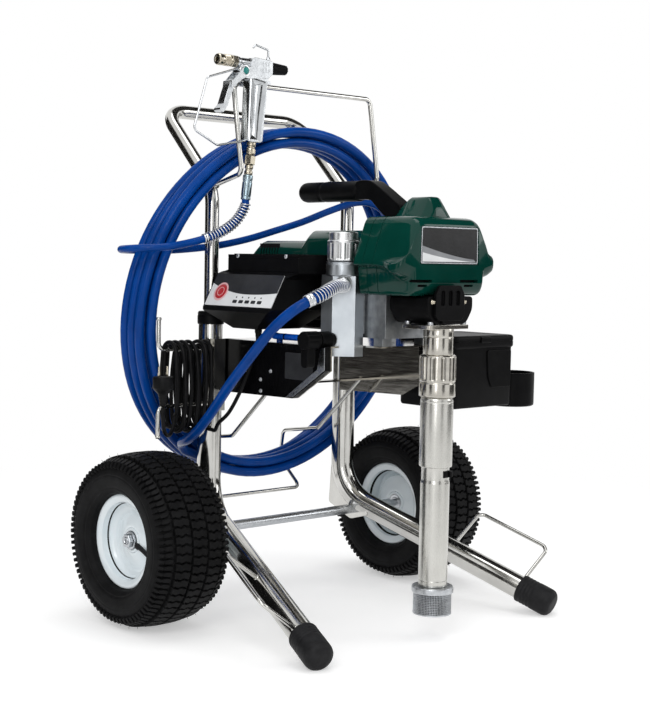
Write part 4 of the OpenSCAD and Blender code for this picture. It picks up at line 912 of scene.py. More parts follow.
def leg_at(side, q):
    """A point on a leg's axis, q millimetres from the knee."""
    return np.array((side * POST_X, POST_Y, KNEE_Z)) + q * leg_way(side)


def leg_out(side):
    return np.array((side * cos(LEG_SPLAY), sin(LEG_SPLAY), 0))


def leg_up(side):
    return side * np.cross(leg_way(side), leg_out(side))


def bent_rod(name, points, radii, radius, sides=20, **more):
    """A rod or tube through corner points, in millimetres."""
    path = bent_path([np.asarray(p, float) * MM for p in points], (np.asarray(radii) * MM).tolist())
    return tube(name, path, radius * MM, sides, **more)


SIDES = (-1, 1)
WORD = {-1: "left", 1: "right"}
lower_tubes = group("lower_tubes",
    *[bent_rod("tube", [(s * POST_X, POST_Y, 574), (s * POST_X, POST_Y, KNEE_Z),
            leg_at(s, LEG_LENGTH)], [0, 95, 0], 24, 44, bore=(0.021, 0.27)) for s in SIDES])
dress(lower_tubes, "chromed_tube", "frame", "frame_tubes")
tell("lower_tubes")

# %% [markdown]
# A bent wire stands out from each leg, and a wire cradle under the coil carries its weight.

# %% Side rails and cradle
def rail(side):
    off = 90 * leg_out(side) + 71 * leg_up(side)
    a, b = leg_at(side, 280), leg_at(side, 446)
    skin = 22 * unit(off)
    return bent_rod("rail", [a + skin, a + off, b + off, b + skin], [0, 16, 16, 0], 4, 18)


def weld(at, way, radius):
    """The small bead where a rod meets a tube."""
    return turned("weld", [(0, -1.5), (radius + 2.2, -1.2), (radius + 1.4, 1.2),
            (radius * 0.6, 2.6), (0, 2.6)], at, way, 22, 0.9)


rails = group("leg_side_rails", *[rail(s) for s in SIDES],
    *[weld(leg_at(s, q) + 23.2 * unit(90 * leg_out(s) + 71 * leg_up(s)),
            90 * leg_out(s) + 71 * leg_up(s), 4) for s in SIDES for q in (280, 446)])
dress(rails, "chromed_tube", "frame", "leg_rails")

cradle = bent_rod("hose_cradle_rod",
    [(-118, -88, 457), (-118, 40, 340), (-118, 152, 324), (-118, 162, 262), (-118, 95, 206),
        (118, 95, 206), (118, 162, 262), (118, 152, 324), (118, 40, 340), (118, -88, 457)],
    [0] + [16] * 8 + [0], 4, 18)
dress(cradle, "chromed_tube", "frame", "hose_cradle")
tell("leg_side_rails", "hose_cradle_rod")

# %% Cable hooks
hooks = group("cable_hook_rods",
    bent_rod("upper", [(-202, 2, 523), (-333, 2, 523), (-333, 2, 584)], [0, 14, 0], 4, 18),
    bent_rod("lower", [(-202, 2, 414), (-333, 2, 414), (-333, 2, 354)], [0, 14, 0], 4, 18),
    turned("tip_a", [(0, -0.5), (4.3, -0.5), (5.2, 1), (5.2, 4), (4, 5.8), (0, 6)], (-333, 2, 579),
        (0, 0, 1), 24), turned("tip_b",
        [(0, -0.5), (4.3, -0.5), (5.2, 1), (5.2, 4), (4, 5.8), (0, 6)], (-333, 2, 359), (0, 0, -1),
        24))
clamp = combine(block("clamp", (-198, 2, 398), (-170, 14, 540)), "DIFFERENCE",
    rod("post", (-184, 32, 380), (-184, 32, 560), 24.05, 48, 0),
    block("ear", (-204, 8, 435), (-144, 13, 541)))
hooks = group("cable_hooks_and_clamp", hooks, clamp)
dress(hooks, "chromed_tube", "frame", "cable_hooks")
soften(hooks, 0.8)
tell("cable_hooks_and_clamp")

# %% Handle and hose rack
rack = bent_rod("hose_rack_rod",
    [(-184, 19, 842), (-184, -57, 861), (-184, -29, 1034), (184, -29, 1034), (184, -57, 861),
        (184, 19, 842)], [0, 14, 14, 14, 14, 0], 5, 20)
HANDLE_BENDS = [0, 80, 50, 50, 80, 0]
handle_ends = [(-POST_X, POST_Y, 350), (-POST_X, POST_Y, 835), (-POST_X, 194, 997),
    (POST_X, 194, 997), (POST_X, POST_Y, 835), (POST_X, POST_Y, 350)]
push_handle = bent_rod("push_handle", handle_ends, HANDLE_BENDS, 14, 40)
dress(push_handle, "chromed_tube", "handle", "handle_tube")
rack_welds = [weld(np.array((s * POST_X, 18.5, 841)), (0, -1, 0.3), 5) for s in SIDES]
dress(group("hose_rack", rack, *rack_welds), "chromed_tube", "handle", "hose_rack")
print("handle tube bent over", round(path_length(bent_path(handle_ends, HANDLE_BENDS)), 0), "mm")

# %% [markdown]
# ## Foot caps, collars, axle and brackets
# The legs stand on rubber caps that are pressed flat where they touch the floor. A plastic
# collar closes the gap between each post and the handle that slides in it.

# %% Rubber and plastic on the tubes
def foot_cap(side):
    """A turned cap with grip rings, whose rounded nose is pressed flat on the floor."""
    rings = [(28 - (1.0 if i % 2 else 0), 6 + 3.5 * i) for i in range(9)]
    cap = turned("cap", [(24, 0), (26.6, 0), (28, 1.5), (28, 4)] + rings
        + [(28, 40), (28, 61), (26.6, 67), (23.5, 71), (19, 74), (13, 75), (0, 75)],
        leg_at(side, 451), leg_way(side), 56, 0.8)
    for corner in cap.data.vertices:
        corner.co.z = max(corner.co.z, 0.0)
    return cap


dress(group("rubber_foot_caps", *[foot_cap(s) for s in SIDES]), "black_rubber", "frame",
    "foot_caps")

collar_profile = [(14.05, 500), (20.95, 500), (20.95, 573.9), (24.02, 574), (24.05, 568), (26, 568),
    (26.4, 572), (26.4, 584), (25.4, 587), (26.2, 589), (24, 593.4), (14.05, 594)]
collars = group("post_collars",
    *[turned("collar", collar_profile, (s * POST_X, POST_Y, 0), sides=48, closed=True, cut=0.8)
        for s in SIDES])
dress(collars, "black_plastic", "frame", "tube_collars")
glides = group("handle_glide_rings",
    *[turned("glide", [(14, 352), (20.7, 352), (20.7, 372), (14, 372)], (s * POST_X, POST_Y, 0),
            sides=40, closed=True) for s in SIDES])
dress(glides, "black_plastic", "handle", "handle_glides")
tell("rubber_foot_caps", "post_collars", "handle_glide_rings")

# %% Axle and its brackets
def hull_outline(circles, steps=28):
    """The outline round a set of (u, v, radius) circles, like a rubber band round them."""
    points = [(u + r * cos(a), v + r * sin(a)) for u, v, r in circles
        for a in np.arange(steps) * 2 * pi / steps]
    points = sorted(points)

    def half(row):
        chain = []
        for q in row:
            while len(chain) > 1 and ((chain[-1][0] - chain[-2][0]) * (q[1] - chain[-2][1])
                - (chain[-1][1] - chain[-2][1]) * (q[0] - chain[-2][0])) <= 1e-9:
                chain.pop()
            chain.append(q)
        return chain[:-1]

    return half(points) + half(points[::-1])


BRACKET = [(0, 165, 21), (62, 176, 8), (58, 256, 6), (30, 262, 4), (-44, 162, 6), (-30, 186, 4)]
brackets = group("axle_bracket_plates",
    *[plate("bracket", "X", hull_outline(BRACKET), s * POST_X - 3, s * POST_X + 3) for s in SIDES])
soften(brackets, 0.9)
dress(brackets, "chromed_tube", "frame", "axle_brackets")
tell("axle_bracket_plates")

# %% Axle and nuts
def axle_end(side):
    x, way = side * 395.6, (side, 0, 0)
    nut_ring = [[np.array((x + side * (2.4 + h), f * 13.5 * cos(a), 165 + f * 13.5 * sin(a)))
            for a in np.arange(6) * pi / 3] for h, f in ((0, 0.95), (0.9, 1), (7, 1), (8, 0.92))]
    return [turned("washer", [(7.4, -1), (17, -1), (17, 1.8), (7.4, 1.8)], (x, 0, 165), way, 40,
            0.5, closed=True), loft("nut", nut_ring, 25),
        combine(turned("end", [(0, 0), (7.5, 0), (7.5, 11.8), (6.8, 12.6), (0, 12.6)], (x, 0, 165),
                way, 32, 0.4), "DIFFERENCE",
            loft("key", [[np.array((x + side * h, 4 * cos(a), 165 + 4 * sin(a)))
                for a in np.arange(6) * pi / 3] for h in (5, 15)]))]


axle = group("cross_axle", rod("bar", (-298, 0, 165), (298, 0, 165), 10, 40, 0.8),
    *[rod("seat", (s * 297, 0, 165), (s * 398, 0, 165), 7.5, 32, 0.4) for s in SIDES],
    *[p for s in SIDES for p in axle_end(s)])
dress(axle, "zinc_steel", "frame", "axle")
tell("cross_axle")

# %% [markdown]
# ## Tyres
# These are turf tyres: a carcass with rows of wavy blocks round it, larger blocks with side lugs
# on the shoulders, fine rings on the sidewall and thin rubber hairs left by the mould's vents. The
# carcass is turned. One block is drawn and a tree sets rows of copies round the tyre, every second
# row half a step on, and tips them to the crown of the tread.

# %% Carcass
WHEEL_X, WHEEL_Z, TREAD_DEPTH = 355, 165, 6.5
carcass = [(76.5, -51), (88, -52), (92, -68), (98, -74), (100, -75.4), (102, -75), (106, -77.6),
    (118, -79.6), (124, -79.9), (126, -79.2), (128, -79.7), (136, -77.6), (138, -76), (143, -74),
    (147, -66), (153, -52), (157, -36), (158.5, -16)]
carcass = carcass + [(r, -h) for r, h in carcass[::-1]]
inner_wall = [(70, 41), (90, 43), (98, 64), (120, 71), (139, 64), (150, 45), (152, 0)]
inner_wall = inner_wall + [(r, -h) for r, h in inner_wall[::-1][1:]]
print("carcass corners:", len(carcass), "tread depth", TREAD_DEPTH, "mm")


def tread_block(name, corners, height, taper=0.86):
    """A block with sloping sides: its outline round the tyre (u) and across it (v)."""
    foot = rounded(corners, 1.6, 1)
    top = [np.asarray(q) * taper for q in foot]
    return loft(name, [[(q[1], q[0], -3) for q in foot], [(q[1], q[0], height - 0.9) for q in top],
            [(q[1] * 0.94, q[0] * 0.94, height) for q in top]], 35)

# %% Blocks and hairs
# Outlines in millimetres: u along the tread, v across it. Both long edges of the wide blocks
# follow one wave.
WAVE_HALF_LENGTH, WAVE_HALF_WIDTH, WAVE_SWING = 6.6, 16.8, 1.9
across_block = np.linspace(-WAVE_HALF_WIDTH, WAVE_HALF_WIDTH, 11)
wave_edge = WAVE_SWING * np.sin(across_block / WAVE_HALF_WIDTH * 2 * pi)
WAVE_BLOCK = [(WAVE_HALF_LENGTH + w, v)
    for v, w in zip(across_block, wave_edge)] + [(-WAVE_HALF_LENGTH + w, v)
    for v, w in zip(across_block[::-1], wave_edge[::-1])]
wave_block = hidden(tread_block("wave_block", WAVE_BLOCK, TREAD_DEPTH, 0.93))
LUG_BLOCK = [(-4.6, -9), (2.5, -9.5), (5.0, -2), (4.6, 9), (-2.5, 9.5), (-5.0, 2)]
lug_block = hidden(tread_block("lug_block", LUG_BLOCK, 6.0))
SIDE_LUG = [(-3.6, -8), (3.6, -7), (3.2, 7.5), (-3.8, 6.5)]
side_lug = hidden(tread_block("side_lug", SIDE_LUG, 3.2))
vent_hair = hidden(turned("vent_hair", [(0, -1), (0.5, 0), (0.4, 6.6), (0, 7.2)], sides=5, cut=0))
tell("wave_block", "lug_block", "side_lug", "vent_hair")

# %% Tread tree
tread_tree, tread_in = new_tree("copies_round_the_tyre", Block="Object", Count="Int", Rows="Int",
    Radius="Float", Step="Float", Crown="Float", Tip="Float", Stagger="Float", Middle="Vector",
    Finish="Material")


def figure(operation, a, b=0.0):
    """One step of arithmetic in the tread's tree."""
    return add(tread_tree, "ShaderNodeMath", {0: a, 1: b}, operation=operation).outputs[0]


number = add(tread_tree, "GeometryNodeInputIndex").outputs[0]
row_number = figure("FLOOR", figure("DIVIDE", figure("ADD", number, 0.001), tread_in["Count"]))
in_row = figure("SUBTRACT", number, figure("MULTIPLY", row_number, tread_in["Count"]))
row_shift = figure("MULTIPLY", figure("MODULO", row_number, 2.0), tread_in["Stagger"])
tread_angle = figure("MULTIPLY",
    figure("DIVIDE", figure("ADD", in_row, row_shift), tread_in["Count"]), 2 * pi)
from_middle = figure("SUBTRACT", row_number,
    figure("DIVIDE", figure("SUBTRACT", tread_in["Rows"], 1.0), 2.0))
over = figure("MULTIPLY", from_middle, tread_in["Step"])
drop = figure("MULTIPLY", figure("MULTIPLY", over, over), tread_in["Crown"])
tread_radius = figure("SUBTRACT", tread_in["Radius"], drop)
tread_spot = add(tread_tree, "ShaderNodeCombineXYZ",
    {0: over, 1: figure("MULTIPLY", tread_radius,
            figure("SINE", figure("MULTIPLY", tread_angle, -1.0))),
        2: figure("MULTIPLY", tread_radius, figure("COSINE", tread_angle))})
points = add(tread_tree, "GeometryNodePoints",
    {"Count": figure("MULTIPLY", tread_in["Count"], tread_in["Rows"]), "Position": tread_spot})
tipping = add(tread_tree, "ShaderNodeCombineXYZ",
    {1: figure("MULTIPLY", from_middle, tread_in["Tip"])})
turning = add(tread_tree, "ShaderNodeCombineXYZ", {0: tread_angle})
seated = add(tread_tree, "FunctionNodeRotateEuler", {"Rotation": tipping, "Rotate By": turning},
    rotation_type="EULER", space="OBJECT")
block_in = add(tread_tree, "GeometryNodeObjectInfo",
    {"Object": tread_in["Block"]}).outputs["Geometry"]
blocks = add(tread_tree, "GeometryNodeInstanceOnPoints",
    {"Points": points, "Instance": block_in, "Rotation": seated})
shifted = add(tread_tree, "GeometryNodeTransform",
    {"Geometry": blocks, "Translation": tread_in["Middle"]})
end_tree(tread_tree, shifted, tread_in["Finish"])
print("nodes that lay the tread:", len(tread_tree.nodes))

# %% Rows round the tyre
def round_tyre(name, side, block_shape, count, rows, radius, step, crown, tip, stagger=0.5):
    """Copies of a block in rows round one tyre; tip is in degrees a row."""
    return grow(name, tread_tree, Block=block_shape, Count=count, Rows=rows, Radius=radius * MM,
        Step=step * MM, Crown=crown / MM, Tip=radians(tip), Stagger=stagger,
        Middle=(side * WHEEL_X * MM, 0.0, WHEEL_Z * MM), Finish=FINISH["tyre_rubber"])


def tyre(side):
    at, way = (side * WHEEL_X, 0, WHEEL_Z), (side, 0, 0)
    skin = turned("skin", carcass + inner_wall, at, way, 120, 1.2, closed=True)
    skin.data.materials.append(FINISH["tyre_rubber"])
    parts = [skin, round_tyre("waves", side, wave_block, 62, 3, 158.4, 35.4, 0.0016, 6.8),
        round_tyre("shoulders", side, lug_block, 80, 2, 160.4, 124, 0.0030, 48, 0.5),
        round_tyre("side_lugs", side, side_lug, 80, 2, 171.4, 149, 0.0046, 128, 0.5),
        round_tyre("hairs", side, vent_hair, 37, 2, 164.0, 101, 0.0022, 30, 0.31)]
    return group(f"turf_tyre_{WORD[side]}", *parts)

# %% [markdown]
# ## Rims
# The rim is two pressed steel dishes welded to a hub barrel and stove enamelled. It has a rolled
# flange at each side, a deep well, a shallow cone round the hub and a rubber valve stem.

# %% Rim and valve
RIM_LOOP = [(76, -54), (76, -12), (60, -2), (60, 25), (58, 29), (46, 33), (31, 36.5), (24, 37.5),
    (24, 34), (30, 33), (45, 29.5), (56, 24.5), (57, 21), (57, -21), (56, -24.5), (45, -29.5),
    (30, -33), (24, -34), (24, -37.5), (31, -36.5), (46, -33), (58, -29), (60, -25), (60, -8),
    (73, -17), (73, -55), (79, -57.4), (84, -58.8), (88, -58.2), (89.4, -56), (89, -53.4),
    (87.4, -52.6), (86.6, -54), (84, -55.4)]
OUTER_FLANGE = [(76, 54), (76, -8), (73, -6.7), (73, 55), (79, 57.4), (84, 58.8), (88, 58.2),
    (89.4, 56), (89, 53.4), (87.4, 52.6), (86.6, 54), (84, 55.4)]
# The pressed bowl that closes the gap between the flange and the disc, seen from outside.
BOWL = [(73.5, 55), (72.4, 46), (70.6, 38.5), (66.8, 32.6), (61.5, 29.9), (56, 29.9), (50, 31.9),
    (50, 30), (56, 28), (62, 27.9), (68, 31), (72, 38), (73.5, 47)]
HUB = [(14.5, -28), (17.5, -28), (17.5, -38), (18.6, -39), (22.6, -39), (24, -37.6), (24, 37.6),
    (22.6, 39), (18.6, 39), (17.5, 38), (17.5, 28), (14.5, 28)]


def rim(side):
    at, way = (side * WHEEL_X, 0, WHEEL_Z), (side, 0, 0)
    parts = [turned(n, loop, at, way, 96, 1.6, closed=True)
        for n, loop in (("dish", RIM_LOOP), ("flange", OUTER_FLANGE), ("bowl", BOWL), ("hub", HUB))]
    return group(f"wheel_rim_{WORD[side]}", *parts)


def valve(side):
    """The rubber valve stem, and its cap, in the dish beside the hub."""
    way, start = unit((side * 0.12, -0.95, -0.28)), np.array((side * 392, -22, 156))
    return turned(f"valve_stem_{WORD[side]}",
        [(0, -6), (6.6, -5.4), (6.8, 0.5), (5.2, 4), (4.4, 12), (4.2, 24), (3.6, 25.5), (4.3, 27),
            (4.3, 38), (3.4, 40), (0, 40)], start, way, 28, 0.8)


print("corners of the rim's profile:", len(RIM_LOOP))

# %% Bearings and all wheel pieces
def bearing(side):
    at, way = (side * WHEEL_X, 0, WHEEL_Z), (side, 0, 0)
    rings = [[(7.55, e * 28.5), (7.55, e * 38.4), (10.5, e * 38.4), (11, e * 37.6),
            (14.6, e * 37.6), (15.2, e * 38.4), (17.4, e * 38.4), (17.4, e * 28.5)]
        for e in (-1, 1)]
    return group(f"wheel_bearings_{WORD[side]}",
        *[turned("ring", ring, at, way, 48, 0.3, closed=True) for ring in rings])


for side, word in WORD.items():
    body = f"wheel_{word}"
    dress(tyre(side), "tyre_rubber", body, f"tyre_{word}")
    dress(rim(side), "rim_paint", body, f"rim_{word}")
    dress(valve(side), "tyre_rubber", body, finish="black_rubber")
    dress(bearing(side), "zinc_steel", body, f"bearings_{word}")

# %% [markdown]
# ## Sheet metal under the motor
# The chassis is folded and welded stainless sheet, polished bright. Its left cheek carries a black
# electrical box, whose outline follows the cheek. Both are plates with cuts, bevelled last.

# %% Electrical box
CHEEK_LEFT = [(8, 540), (-282, 540), (-283, 495), (-194, 438), (8, 435)]
box_shell = combine(plate("electrical_box_shell", "X", CHEEK_LEFT, -166, -152.2), "DIFFERENCE",
    rod("valve_space", (-220, -260, 551), (-128, -260, 551), 17, 40, 0),
    block("ear", (-204, 2, 420), (-144, 22, 560)),
    rod("post", (-184, 32, 380), (-184, 32, 560), 24.4, 48, 0),
    plate("joint_line", "X", [(-240, 560), (-236, 560), (-236, 400), (-240, 400)], -166.8, -165.4))
dress(soften(box_shell, 1.6, 3), "black_paint", "frame", "electrical_box")
flange = combine(plate("box_front_flange", "X",
        [(-271, 536), (-281, 538), (-282, 497), (-196, 441), (-176, 440), (-262, 497)], -167.2,
        -165.9), "DIFFERENCE", rod("valve_space", (-220, -260, 551), (-128, -260, 551), 17, 40, 0))
dress(soften(flange, 0.4), "polished_sheet", finish="zinc_steel")
rating_plate = plate("bare_rating_plate", "X", [(-172, 474), (-250, 474), (-250, 524), (-172, 524)],
    -166.5, -165.9, 3)
dress(soften(rating_plate, 0.15), "black_paint", finish="dark_film")
box_screws = copies_on("electrical_box_screws", pan_head, FINISH["zinc_steel"],
    [((-166, y, z), (-1, 0, 0), 0.3 * i)
        for i, (y, z) in enumerate([(-61, 483), (-131, 485), (-102, 467), (-103, 445)])])
dress(box_screws, "zinc_steel")
tell("electrical_box_shell", "bare_rating_plate")

# %% Chassis
keep_solid("chassis_sheet", "polished_sheet", 0.7)
chassis_bolts = copies_on("chassis_bolts", socket_head, FINISH["zinc_steel"],
    [((159, y, z), (1, 0, 0)) for y, z in ((-202, 458), (-120, 486), (-40, 486))]
    + [((184, 9, 437), (0, -1, 0))])
dress(chassis_bolts, "zinc_steel")
tell("chassis_bolts")

# %% [markdown]
# ## Motor, gearbox and pump drive
# Under the hood sit a finned motor and a cast gearbox. Only their lower parts and the motor's rear
# bell can be seen, so they keep their solids with rounded edges and a casting's finish.

# %% Inner machine
keep_solid("motor_housing", "black_paint", 1.0)
keep_solid("motor_rotor", "copper_winding", 0.5)
keep_solid("gearbox_housing", "cast_aluminium", 2.0)
keep_solid("crank_gear", "zinc_steel", 0.3)
keep_solid("pump_rod", "machined_steel", 0.5)
keep_solid("filter_element", "zinc_steel", 0.3)
MOTOR_RADIUS, MOTOR_Z = 59, 622
motor_ribs = copies_on("motor_cooling_ribs",
    hidden(plate("rib", "Y", [(-2, 0), (2, 0), (1.2, 3.5), (-1.2, 3.5)], -95, 95)),
    FINISH["black_paint"], [((MOTOR_RADIUS * cos(a), -76, MOTOR_Z + MOTOR_RADIUS * sin(a)),
            (cos(a), 0, sin(a))) for a in np.radians(np.arange(200, 341, 10))])
dress(soften(motor_ribs, 0.4), "black_paint")
gear_ribs = group("gearbox_ribs",
    *[block("rib", (-72.5, -330 + 24 * i, 566), (-69, -326 + 24 * i, 655)) for i in range(2, 4)],
    *[block("rib", (69, -330 + 24 * i, 566), (72.5, -326 + 24 * i, 725)) for i in range(5)])
dress(soften(gear_ribs, 1.0), "cast_aluminium")
gear_screws = copies_on("gearbox_screws", socket_head, FINISH["zinc_steel"],
    [((70, y, z), (1, 0, 0)) for y in (-325, -215) for z in (570, 720)])
dress(gear_screws, "zinc_steel")
tell("motor_cooling_ribs", "gearbox_ribs")

# %% Drive housing and slotted cover
DRIVE = [(-60, 636), (-60, 612), (-46, 590), (-36, 585), (36, 585), (46, 590), (60, 612), (60, 636)]
drive = soften(plate("drive_housing_shell", "Y", rounded(DRIVE, 7, 3), -436, -340), 3, 3)
dress(drive, "black_plastic", "frame", "drive_housing")
COVER = [(-46, 600), (-46, 640), (-36, 656), (20, 656), (30, 640), (30, 600), (22, 592), (-38, 592)]
cover = plate("slotted_cover_plate", "Y", rounded(COVER, 3, 2), -443, -436)
slot_cutters = [plate("slot", "Y",
        rounded([(x - 5, 619), (x + 5, 619), (x + 5, 647), (x - 5, 647)], 4.4, 3), -450, -438)
    for x in (-28, -8, 12)]
cover = combine(cover, "DIFFERENCE", *slot_cutters)
dress(soften(cover, 1.2, 3), "black_plastic", "frame", "slotted_cover")
# A dark sheet behind the cover's slots: painted shade for the unlit inside.
painted_slot_shade = plate("slot_shadow", "Y", [(-36, 612), (20, 612), (20, 650), (-36, 650)], -437.9,
    -437.2)
dress(painted_slot_shade, "black_plastic", finish="painted_shade_inside")
cover_lip = soften(plate("cover_lower_lip", "Y",
        rounded([(-24, 586), (8, 586), (12, 593), (-28, 593)], 2), -441, -434), 0.8)
dress(cover_lip, "black_plastic")
cover_nuts = copies_on("cover_nuts",
    hidden(turned("acorn_nut", [(0, 0), (4.8, 0), (4.8, 2.4), (3.8, 3.2), (3.4, 5.2), (1.8, 6.6),
            (0, 6.8)], sides=20, cut=0.5)), FINISH["brass"],
    [((x, -436, 626), (0, -1, 0)) for x in (-50, 34)])
dress(cover_nuts, "nickel_brass")
tell("drive_housing_shell", "slotted_cover_plate")

# %% [markdown]
# ## The hood
# The hood is two glossy green mouldings. The front one swells at its lower corners, carries a
# three-sided spine and has a chin with air slots. It is a loft: the same outline with the same
# number of corners is drawn at each step along the cart, so the skin can swell, shrink and step in
# at the seam without any cutting. The slots and the plate's recess are then cut out.

# %% Hood outline
UPPER = [(82, 780), (104, 722), (112, 700)]
FLARE = [(128, 694), (128, 679), (116, 672), (97, 666), (95, 636)]
BODY = [(113.5, 695), (113.5, 690), (104, 688.5), (101, 686), (95, 636)]
UPPER_CUTS, LOWER_CUTS = [16, 16, 12], [4, 4, 5, 5, 9]


def hood_ring(y, flare, top=780, bottom=636, pull=0.0):
    """The hood's outline at one step: flare widens its low corners, pull shrinks it."""
    low = [np.array(a) * (1 - flare) + np.array(b) * flare for a, b in zip(BODY, FLARE)]
    right = [np.array(q, float) for q in UPPER] + low
    right = [np.array((x, min(bottom + (z - 636) * (780 - bottom) / 144, top - (780 - z) * 0.15)))
        for x, z in right]
    left = [q * (-1, 1) for q in right[::-1]]
    ring = rounded(left + right, (UPPER_CUTS + LOWER_CUTS)[::-1] + UPPER_CUTS + LOWER_CUTS, 4)
    middle = np.array((0.0, 707.0))
    shrunk = [middle + (q - middle) * (1 - pull / np.linalg.norm(q - middle)) for q in ring]
    return [(q[0], y, q[1]) for q in shrunk]


print("corners of the hood's outline:", len(hood_ring(-300, 0)))

# %% Hood shell
SEAM = 1.1
hood_steps = [(-296, 0, 780, 636, 1.2), (-297.5, 0, 780, 636, 0), (-318.6, 0, 780, 636, 0),
    (-319.0, 0, 780, 636, SEAM), (-320.2, 0, 780, 636, SEAM), (-320.6, 0, 780, 636, 0),
    (-343.6, 0, 780, 636, 0), (-344.0, 0, 780, 636, SEAM), (-345.4, 0, 780, 636, SEAM),
    (-345.8, 0, 780, 636, 0), (-360, 0.02, 780, 636, 0), (-372, 0.12, 780, 636, 0),
    (-382, 0.34, 780, 636, 0), (-392, 0.66, 780, 636, 0), (-400, 0.88, 780, 636, 0),
    (-408, 1, 779.5, 636, 0), (-416, 1, 778, 637, 0), (-421, 1, 776, 639, 0.4),
    (-425, 0.98, 774, 642, 1.2), (-428, 0.93, 771.5, 647, 2.4), (-430.3, 0.86, 769, 652, 3.8),
    (-431.6, 0.78, 767, 657, 5.6), (-432, 0.7, 765, 661, 7.4)]
hood_front = loft("hood_front_shell", [hood_ring(*step) for step in hood_steps], 35)
chin_slots = [plate("slot", "Y",
        rounded([(x - w, z), (x + w, z), (x + w, z + t), (x - w, z + t)], 1.8, 2), -440, -400)
    for x, w, z, t in ((-71, 25, 661, 5), (53, 25, 661, 5), (-70.5, 12.5, 653, 4.2),
        (53, 12.5, 653, 4.2))]
hood_front = combine(hood_front, "DIFFERENCE", *chin_slots,
    plate("recess", "Y", rounded([(-79, 693), (79, 693), (77, 762), (-77, 762)], 3, 2), -440,
        -429.2))
tell("hood_front_shell")

# %% Spine and slots
SPINE = [(-37, 770), (37, 770), (36, 777), (13.5, 817), (-13.5, 817), (-36, 777)]
spine_steps = [(-321.6, 0.55), (-322, 0.66), (-326, 0.74), (-338, 0.94), (-343, 1), (-388, 1),
    (-391, 0.97), (-399, 0.72), (-405, 0.42), (-406.6, 0.25)]
spine = loft("spine", [[(x, y, 770 + (z - 770) * f)
            for x, z in rounded(SPINE, [0, 0, 3, 7, 7, 3], 3)] for y, f in spine_steps], 35)
hood_front = combine(hood_front, "UNION", spine)
dress(soften(hood_front, 0.9, 2, 40), "green_plastic", "frame", "hood_front")
slot_shadow = block("chin_slot_shadow", (-92, -421, 650), (92, -420, 668))
dress(slot_shadow, "black_plastic", finish="painted_shade_inside")
tell("hood_front_shell")

# %% Name plate
# The plate is left bare: a dark satin sheet in a thin pale frame, with one soft grey sweep below.
plate_sheet = plate("name_plate_bare", "Y",
    rounded([(-74, 697), (74, 697), (73, 758.5), (-73, 758.5)], 2.5, 2), -430.8, -429.0)
dress(soften(plate_sheet, 0.4), "badge", "frame", "badge_plate")
sweep_top = [(x, 699 + 16 * (1 - (x + 72) / 144) ** 1.7) for x in np.linspace(-72, 72, 24)]
sweep = plate("name_plate_sweep", "Y",
    [(72, 698.6), *[tuple(q) for q in sweep_top[::-1][1:]], (-72, 698.6)], -431.05, -430.7)
dress(sweep, "badge", finish="panel_film")
grey_top = [(x, 703 + 24 * (1 - (x + 73) / 146) ** 1.5) for x in np.linspace(-73, 72, 24)]
grey_sweep = plate("name_plate_grey_sweep", "Y",
    [(72, 698.2), *[tuple(q) for q in grey_top[::-1][1:]], (-73, 698.2)], -430.95, -430.6)
dress(grey_sweep, "badge", finish="silver_film")
frame_rim = combine(plate("plate_frame", "Y",
        rounded([(-76.5, 695), (76.5, 695), (75, 761), (-75, 761)], 3, 2), -431.4, -429.2),
    "DIFFERENCE", plate("inside", "Y",
        rounded([(-74.4, 697), (74.4, 697), (73, 759), (-73, 759)], 2.5, 2), -440, -420))
dress(soften(frame_rim, 0.3), "badge", finish="zinc_steel")
tell("name_plate_bare", "plate_frame")

# %% Rear hood
REAR_TOP = [(50, 711), (49, 714), (40, 724), (28, 733), (20, 735), (-101, 735), (-106, 737),
    (-118, 751), (-124, 755), (-294.5, 755), (-295, 753.5)]
rear_rings = []
for y, top in REAR_TOP:
    slim = 1.2 if y in (50, -295) else 0
    corners = [(-70 + slim, 697), (70 - slim, 697), (70 - slim, top - 16), (54, top - slim),
        (-54, top - slim), (-70 + slim, top - 16)]
    rear_rings.append([(q[0], y, q[1]) for q in rounded(corners, [1, 1, 7, 9, 9, 7], 4)])
hood_rear = loft("hood_rear_shell", rear_rings, 32)
vents = [plate("vent", "X", rounded([(y, 706), (y + 4.6, 706), (y + 4.6, 727), (y, 727)], 1.5, 2),
        *((-80, -66.5) if s < 0 else (66.5, 80))) for s in SIDES for y in np.arange(-36, 19, 8.2)]
hood_rear = combine(hood_rear, "DIFFERENCE", *vents)
dress(soften(hood_rear, 1.0, 2, 35), "green_plastic", "frame", "hood_rear")
vent_shadows = group("vent_shadows",
    *[block("dark", (s * 67.0 - 0.4, -38, 704), (s * 67.0 + 0.4, 22, 729)) for s in SIDES])
dress(vent_shadows, "black_plastic", finish="painted_shade_inside")
tell("hood_rear_shell")

# %% Carrying handle
# One moulding: a thick round grip with a domed end, and a strut that runs down into the hood.
grip_profile = [(0, 0), (9, 0.8), (15, 4), (18.6, 9), (20, 16), (20, 60), (19.4, 63), (19.4, 68),
    (20, 71), (20, 150), (20, 165), (18, 172), (0, 174)]
grip = turned("grip", grip_profile, (0, -30, 832), (0, -1, 0), 56, 1.5)
STRUT = [(-196, 815), (-196, 849), (-214, 852), (-238, 851), (-262, 838), (-322, 800), (-322, 778),
    (-284, 778), (-262, 794), (-238, 815)]
strut = eased(plate("strut", "X", rounded(STRUT, 9, 3), -17, 17), 5, 4)
carry = group("carrying_handle", grip, strut)
dress(carry, "black_plastic", "frame", "carry_handle")
grip_window = soften(plate("grip_inset", "Z",
        rounded([(-5, -118), (5, -118), (5, -108), (-5, -108)], 1.5, 2), 850.6, 852.3), 0.3)
dress(grip_window, "black_plastic", finish="zinc_steel")
tell("carrying_handle")

# %% [markdown]
# ## Paint pump
# Below the gearbox hang the pump cylinder, a big knurled coupling nut, a satin aluminium suction
# tube and a strainer basket. All are turned parts, so a profile and a few waves round it are
# enough.

